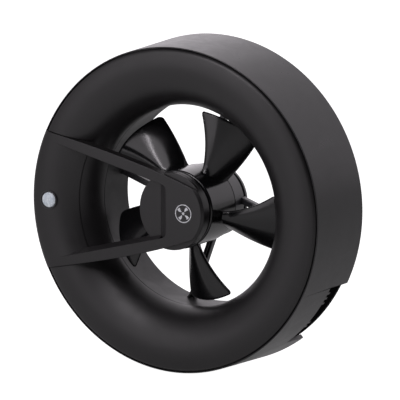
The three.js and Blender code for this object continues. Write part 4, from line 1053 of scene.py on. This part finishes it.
def edge_samples(length, round_off, count):
    """Shares from 0 to 1, closer within the rounding at each end, with how full the section is there."""
    near = [round_off * (1 - math.cos(math.radians(90 * k / 4))) / length for k in range(5)]
    inner = [mix(near[-1], 1 - near[-1], k / count) for k in range(1, count)]
    shares = near + inner + [1 - share for share in near[::-1]]
    fullness = []
    for share in shares:
        depth = min(share, 1 - share) * length / round_off
        fullness.append(math.sqrt(max(0, 1 - (1 - min(1, depth)) ** 2)))
    return list(zip(shares, fullness))


def blade(angle):
    """A curved blade from inside the hub's wall to a rounded tip, thicker near the hub."""
    root_radius = HUB_RADIUS - 1
    length = TIP_RADIUS - root_radius
    radial = [(k / 30 * (1 - BLADE_TIP_ROUND / length), 1.0) for k in range(31)]
    for k in range(1, 5):
        turn = math.radians(90 * k / 4)
        radial.append((1 - BLADE_TIP_ROUND * (1 - math.sin(turn)) / length, math.cos(turn)))
    chord = edge_samples(BLADE_CHORD, BLADE_EDGE_ROUND, 26)
    rows = []
    for reach, tip_fullness in radial:
        radius = mix(root_radius, TIP_RADIUS, reach)
        past_corner = max(0, radius - (TIP_RADIUS - BLADE_CORNER)) / BLADE_CORNER
        trim = math.degrees(BLADE_CORNER * (1 - math.sqrt(1 - 0.97 * past_corner ** 2)) / radius)
        span_angle = mix(ROOT_SPAN, TIP_SPAN, reach)
        near_hub = max(0, 1 - (radius - HUB_RADIUS) / BLADE_FILLET_REACH)
        fillet = 1 + BLADE_FILLET_GAIN * near_hub ** 2
        row = {1: [], -1: []}
        for share, fullness in chord:
            along = mix(trim / span_angle, 1 - trim / span_angle, share)
            spot = polar(radius, angle - ROOT_LAG * (1 - reach) + span_angle * (along - 0.5))
            centre = mix(mix(ROOT_REAR_Y, TIP_REAR_Y, reach), mix(ROOT_FRONT_Y, TIP_FRONT_Y, reach), along)
            centre += BLADE_CAMBER * (1 - (2 * along - 1) ** 2)
            half = mix(ROOT_THICKNESS, TIP_THICKNESS, reach) / 2 * fullness * tip_fullness * fillet
            for side in (1, -1):
                row[side].append((spot.x, centre + side * half, spot.y))
        rows.append(row[1] + row[-1][::-1])
    return grid(rows)


def impeller():
    bore = HUB_RADIUS - HUB_WALL
    hub = turned(rounded([
        (0, HUB_FRONT_Y), (HUB_RADIUS, HUB_FRONT_Y, 1.2), (HUB_RADIUS, HUB_REAR_Y, 0.3),
        (bore, HUB_REAR_Y, 0.3), (bore, HUB_FRONT_Y + HUB_WALL), (0, HUB_FRONT_Y + HUB_WALL)]), BARREL_SIDES)
    blades = [blade(FIRST_BLADE_ANGLE + i * 360 / BLADE_COUNT) for i in range(BLADE_COUNT)]
    return together([hub, *blades])


# ---- the pieces ----

stand_for(front_ring(), "front_ring")
stand_for(arm_frame(), "arm_frame", 28)
stand_for(hub_cover(), "hub_cover")
printed_mark()
sensor_pieces()

stand_for(outer_shell(), "outer_shell")
stand_for(back_plate(), "back_plate")
stand_for(duct_tube(), "duct_tube")
stand_for(motor_carrier(), "motor_carrier")
stand_for(motor_rear_cap(), "motor_rear_cap")
stand_for(impeller(), "impeller")
stand_for(grommet(), "cable_grommet")
stand_for(capacitor(), "smoothing_capacitor")
for node in BODY_OF:
    if kind_of(node) in HEAD_IN_FRONT:
        stand_for(cross_head_screw(node), node)

# The CAD nodes that are still shown
for node in BODY_OF:
    piece = frame["nodes"][node]
    if not piece.hide_render:
        piece.data.materials.clear()
        piece.data.materials.append(FINISHES[SLOT_OF[node]])
        if node in BEVELLED:
            bevel_edges(piece)


# ---- floor, light and camera ----

LIGHT_COLOR = (1, 0.95, 1)
BACKDROP_LIGHT = 1.05
ROOM_LIGHT = 0.01
# Glows of the room's walls: direction, strength, and the cosines at which they start and are full
WALL_LIGHTS = (((0, 0.85, 0.5), 0.85, 0.5, 0.85), ((-0.6, 0.78, 0.12), 0.45, 0.75, 0.95),
               ((-0.85, -0.45, -0.15), 0.38, 0.1, 0.8))
# Soft lights: azimuth from the front towards the right, elevation, distance, size in metres and watts
SOFTBOXES = (
    ("front", 8, 46, 0.42, (0.3, 0.22), 0.42),
    ("front_strip", -7, 38, 0.6, (0.03, 0.3), 0.35),
    ("left_panel", -24, 18, 0.55, (0.36, 0.4), 0.5),
)
# How bright the floor looks to the camera, and how much it lights the object
FLOOR_SEEN = 1.0
FLOOR_GLOW = 0.22
FLOOR_HALF_WIDTH = 12

# The camera, in degrees, metres and millimetres: fitted to the photograph's outlines
CAMERA_AZIMUTH = 30.04
CAMERA_ELEVATION = 9.94
CAMERA_DISTANCE = 1.380
CAMERA_LENS = 215.07
CAMERA_AIM_OFFSET = Vector((-9.2, 24.0, -1.6))


def floor():
    mesh = bpy.data.meshes.new("floor")
    half = FLOOR_HALF_WIDTH
    level = cad_box[0].z
    mesh.from_pydata([(-half, -half, level), (half, -half, level), (half, half, level), (-half, half, level)],
                     [], [(0, 1, 2, 3)])
    plane = bpy.data.objects.new("floor", mesh)
    bpy.context.scene.collection.objects.link(plane)
    material, tree, shader, coordinates = new_material("pale_floor", Roughness=0.9)
    shade = remap(tree, noise(tree, coordinates["Object"], 400, detail=2), (0.3, 0.7), (0, 1))
    tone = blend_colors(tree, shade, (0.5, 0.5, 0.5), (0.53, 0.53, 0.53))
    tree.links.new(tone, shader.inputs["Base Color"])
    shader.inputs["Emission Color"].default_value = (1, 1, 1, 1)
    seen = add_node(tree, "LightPath").outputs["Is Camera Ray"]
    tree.links.new(remap(tree, seen, (0, 1), (FLOOR_GLOW, FLOOR_SEEN)), shader.inputs["Emission Strength"])
    mesh.materials.append(material)


def direction_to(azimuth, elevation):
    turn, rise = math.radians(azimuth), math.radians(elevation)
    return Vector((math.sin(turn) * math.cos(rise), -math.cos(turn) * math.cos(rise), math.sin(rise)))


def softbox(name, azimuth, elevation, distance, size, power):
    """An area light at a direction from the object: azimuth 0 is the front, 90 the right side."""
    light = bpy.data.lights.new(name, "AREA")
    light.shape = "RECTANGLE"
    light.size, light.size_y = size
    light.energy = power
    light.color = LIGHT_COLOR
    lamp = bpy.data.objects.new(name, light)
    bpy.context.scene.collection.objects.link(lamp)
    out = direction_to(azimuth, elevation)
    lamp.location = out * distance
    lamp.rotation_euler = (-out).to_track_quat("-Z", "Y").to_euler()


def studio():
    """A bright backdrop that only the camera sees, a dim room with glowing walls, and soft lights."""
    world = bpy.data.worlds.new("studio")
    bpy.context.scene.world = world
    world.use_nodes = True
    tree = world.node_tree
    backdrop = tree.nodes["Background"]
    backdrop.inputs["Color"].default_value = (1, 1, 1, 1)
    backdrop.inputs["Strength"].default_value = BACKDROP_LIGHT
    way = add_node(tree, "TexCoord").outputs["Generated"]
    level = ROOM_LIGHT
    for direction, strength, wide, narrow in WALL_LIGHTS:
        towards = add_node(tree, "VectorMath", {0: way, 1: Vector(direction).normalized()},
                           operation="DOT_PRODUCT").outputs["Value"]
        glow = add_node(tree, "MapRange", {
            "Value": towards, "From Min": wide, "From Max": narrow, "To Min": 0.0, "To Max": strength},
            interpolation_type="SMOOTHSTEP")
        level = add_node(tree, "Math", {0: glow.outputs["Result"], 1: level}, operation="ADD").outputs[0]
    room = add_node(tree, "Background", {"Color": (*LIGHT_COLOR, 1), "Strength": level})
    seen = add_node(tree, "LightPath").outputs["Is Camera Ray"]
    choice = add_node(tree, "MixShader", {0: seen, 1: room.outputs[0], 2: backdrop.outputs[0]})
    tree.links.new(choice.outputs[0], tree.nodes["World Output"].inputs["Surface"])
    for settings in SOFTBOXES:
        softbox(*settings)


def photo_camera():
    back = direction_to(CAMERA_AZIMUTH, CAMERA_ELEVATION)
    centre = (cad_box[0] + cad_box[1]) / 2
    aim = centre + CAMERA_AIM_OFFSET * MM
    camera = bpy.data.objects.new("camera", bpy.data.cameras.new("camera"))
    camera.data.lens = CAMERA_LENS
    camera.data.sensor_width = 36
    camera.data.clip_start = 0.05
    camera.location = aim + back * CAMERA_DISTANCE
    camera.rotation_euler = (-back).to_track_quat("-Z", "Y").to_euler()
    bpy.context.scene.collection.objects.link(camera)
    bpy.context.scene.camera = camera


studio()
floor()
photo_camera()
bpy.context.scene.view_settings.view_transform = "Standard"
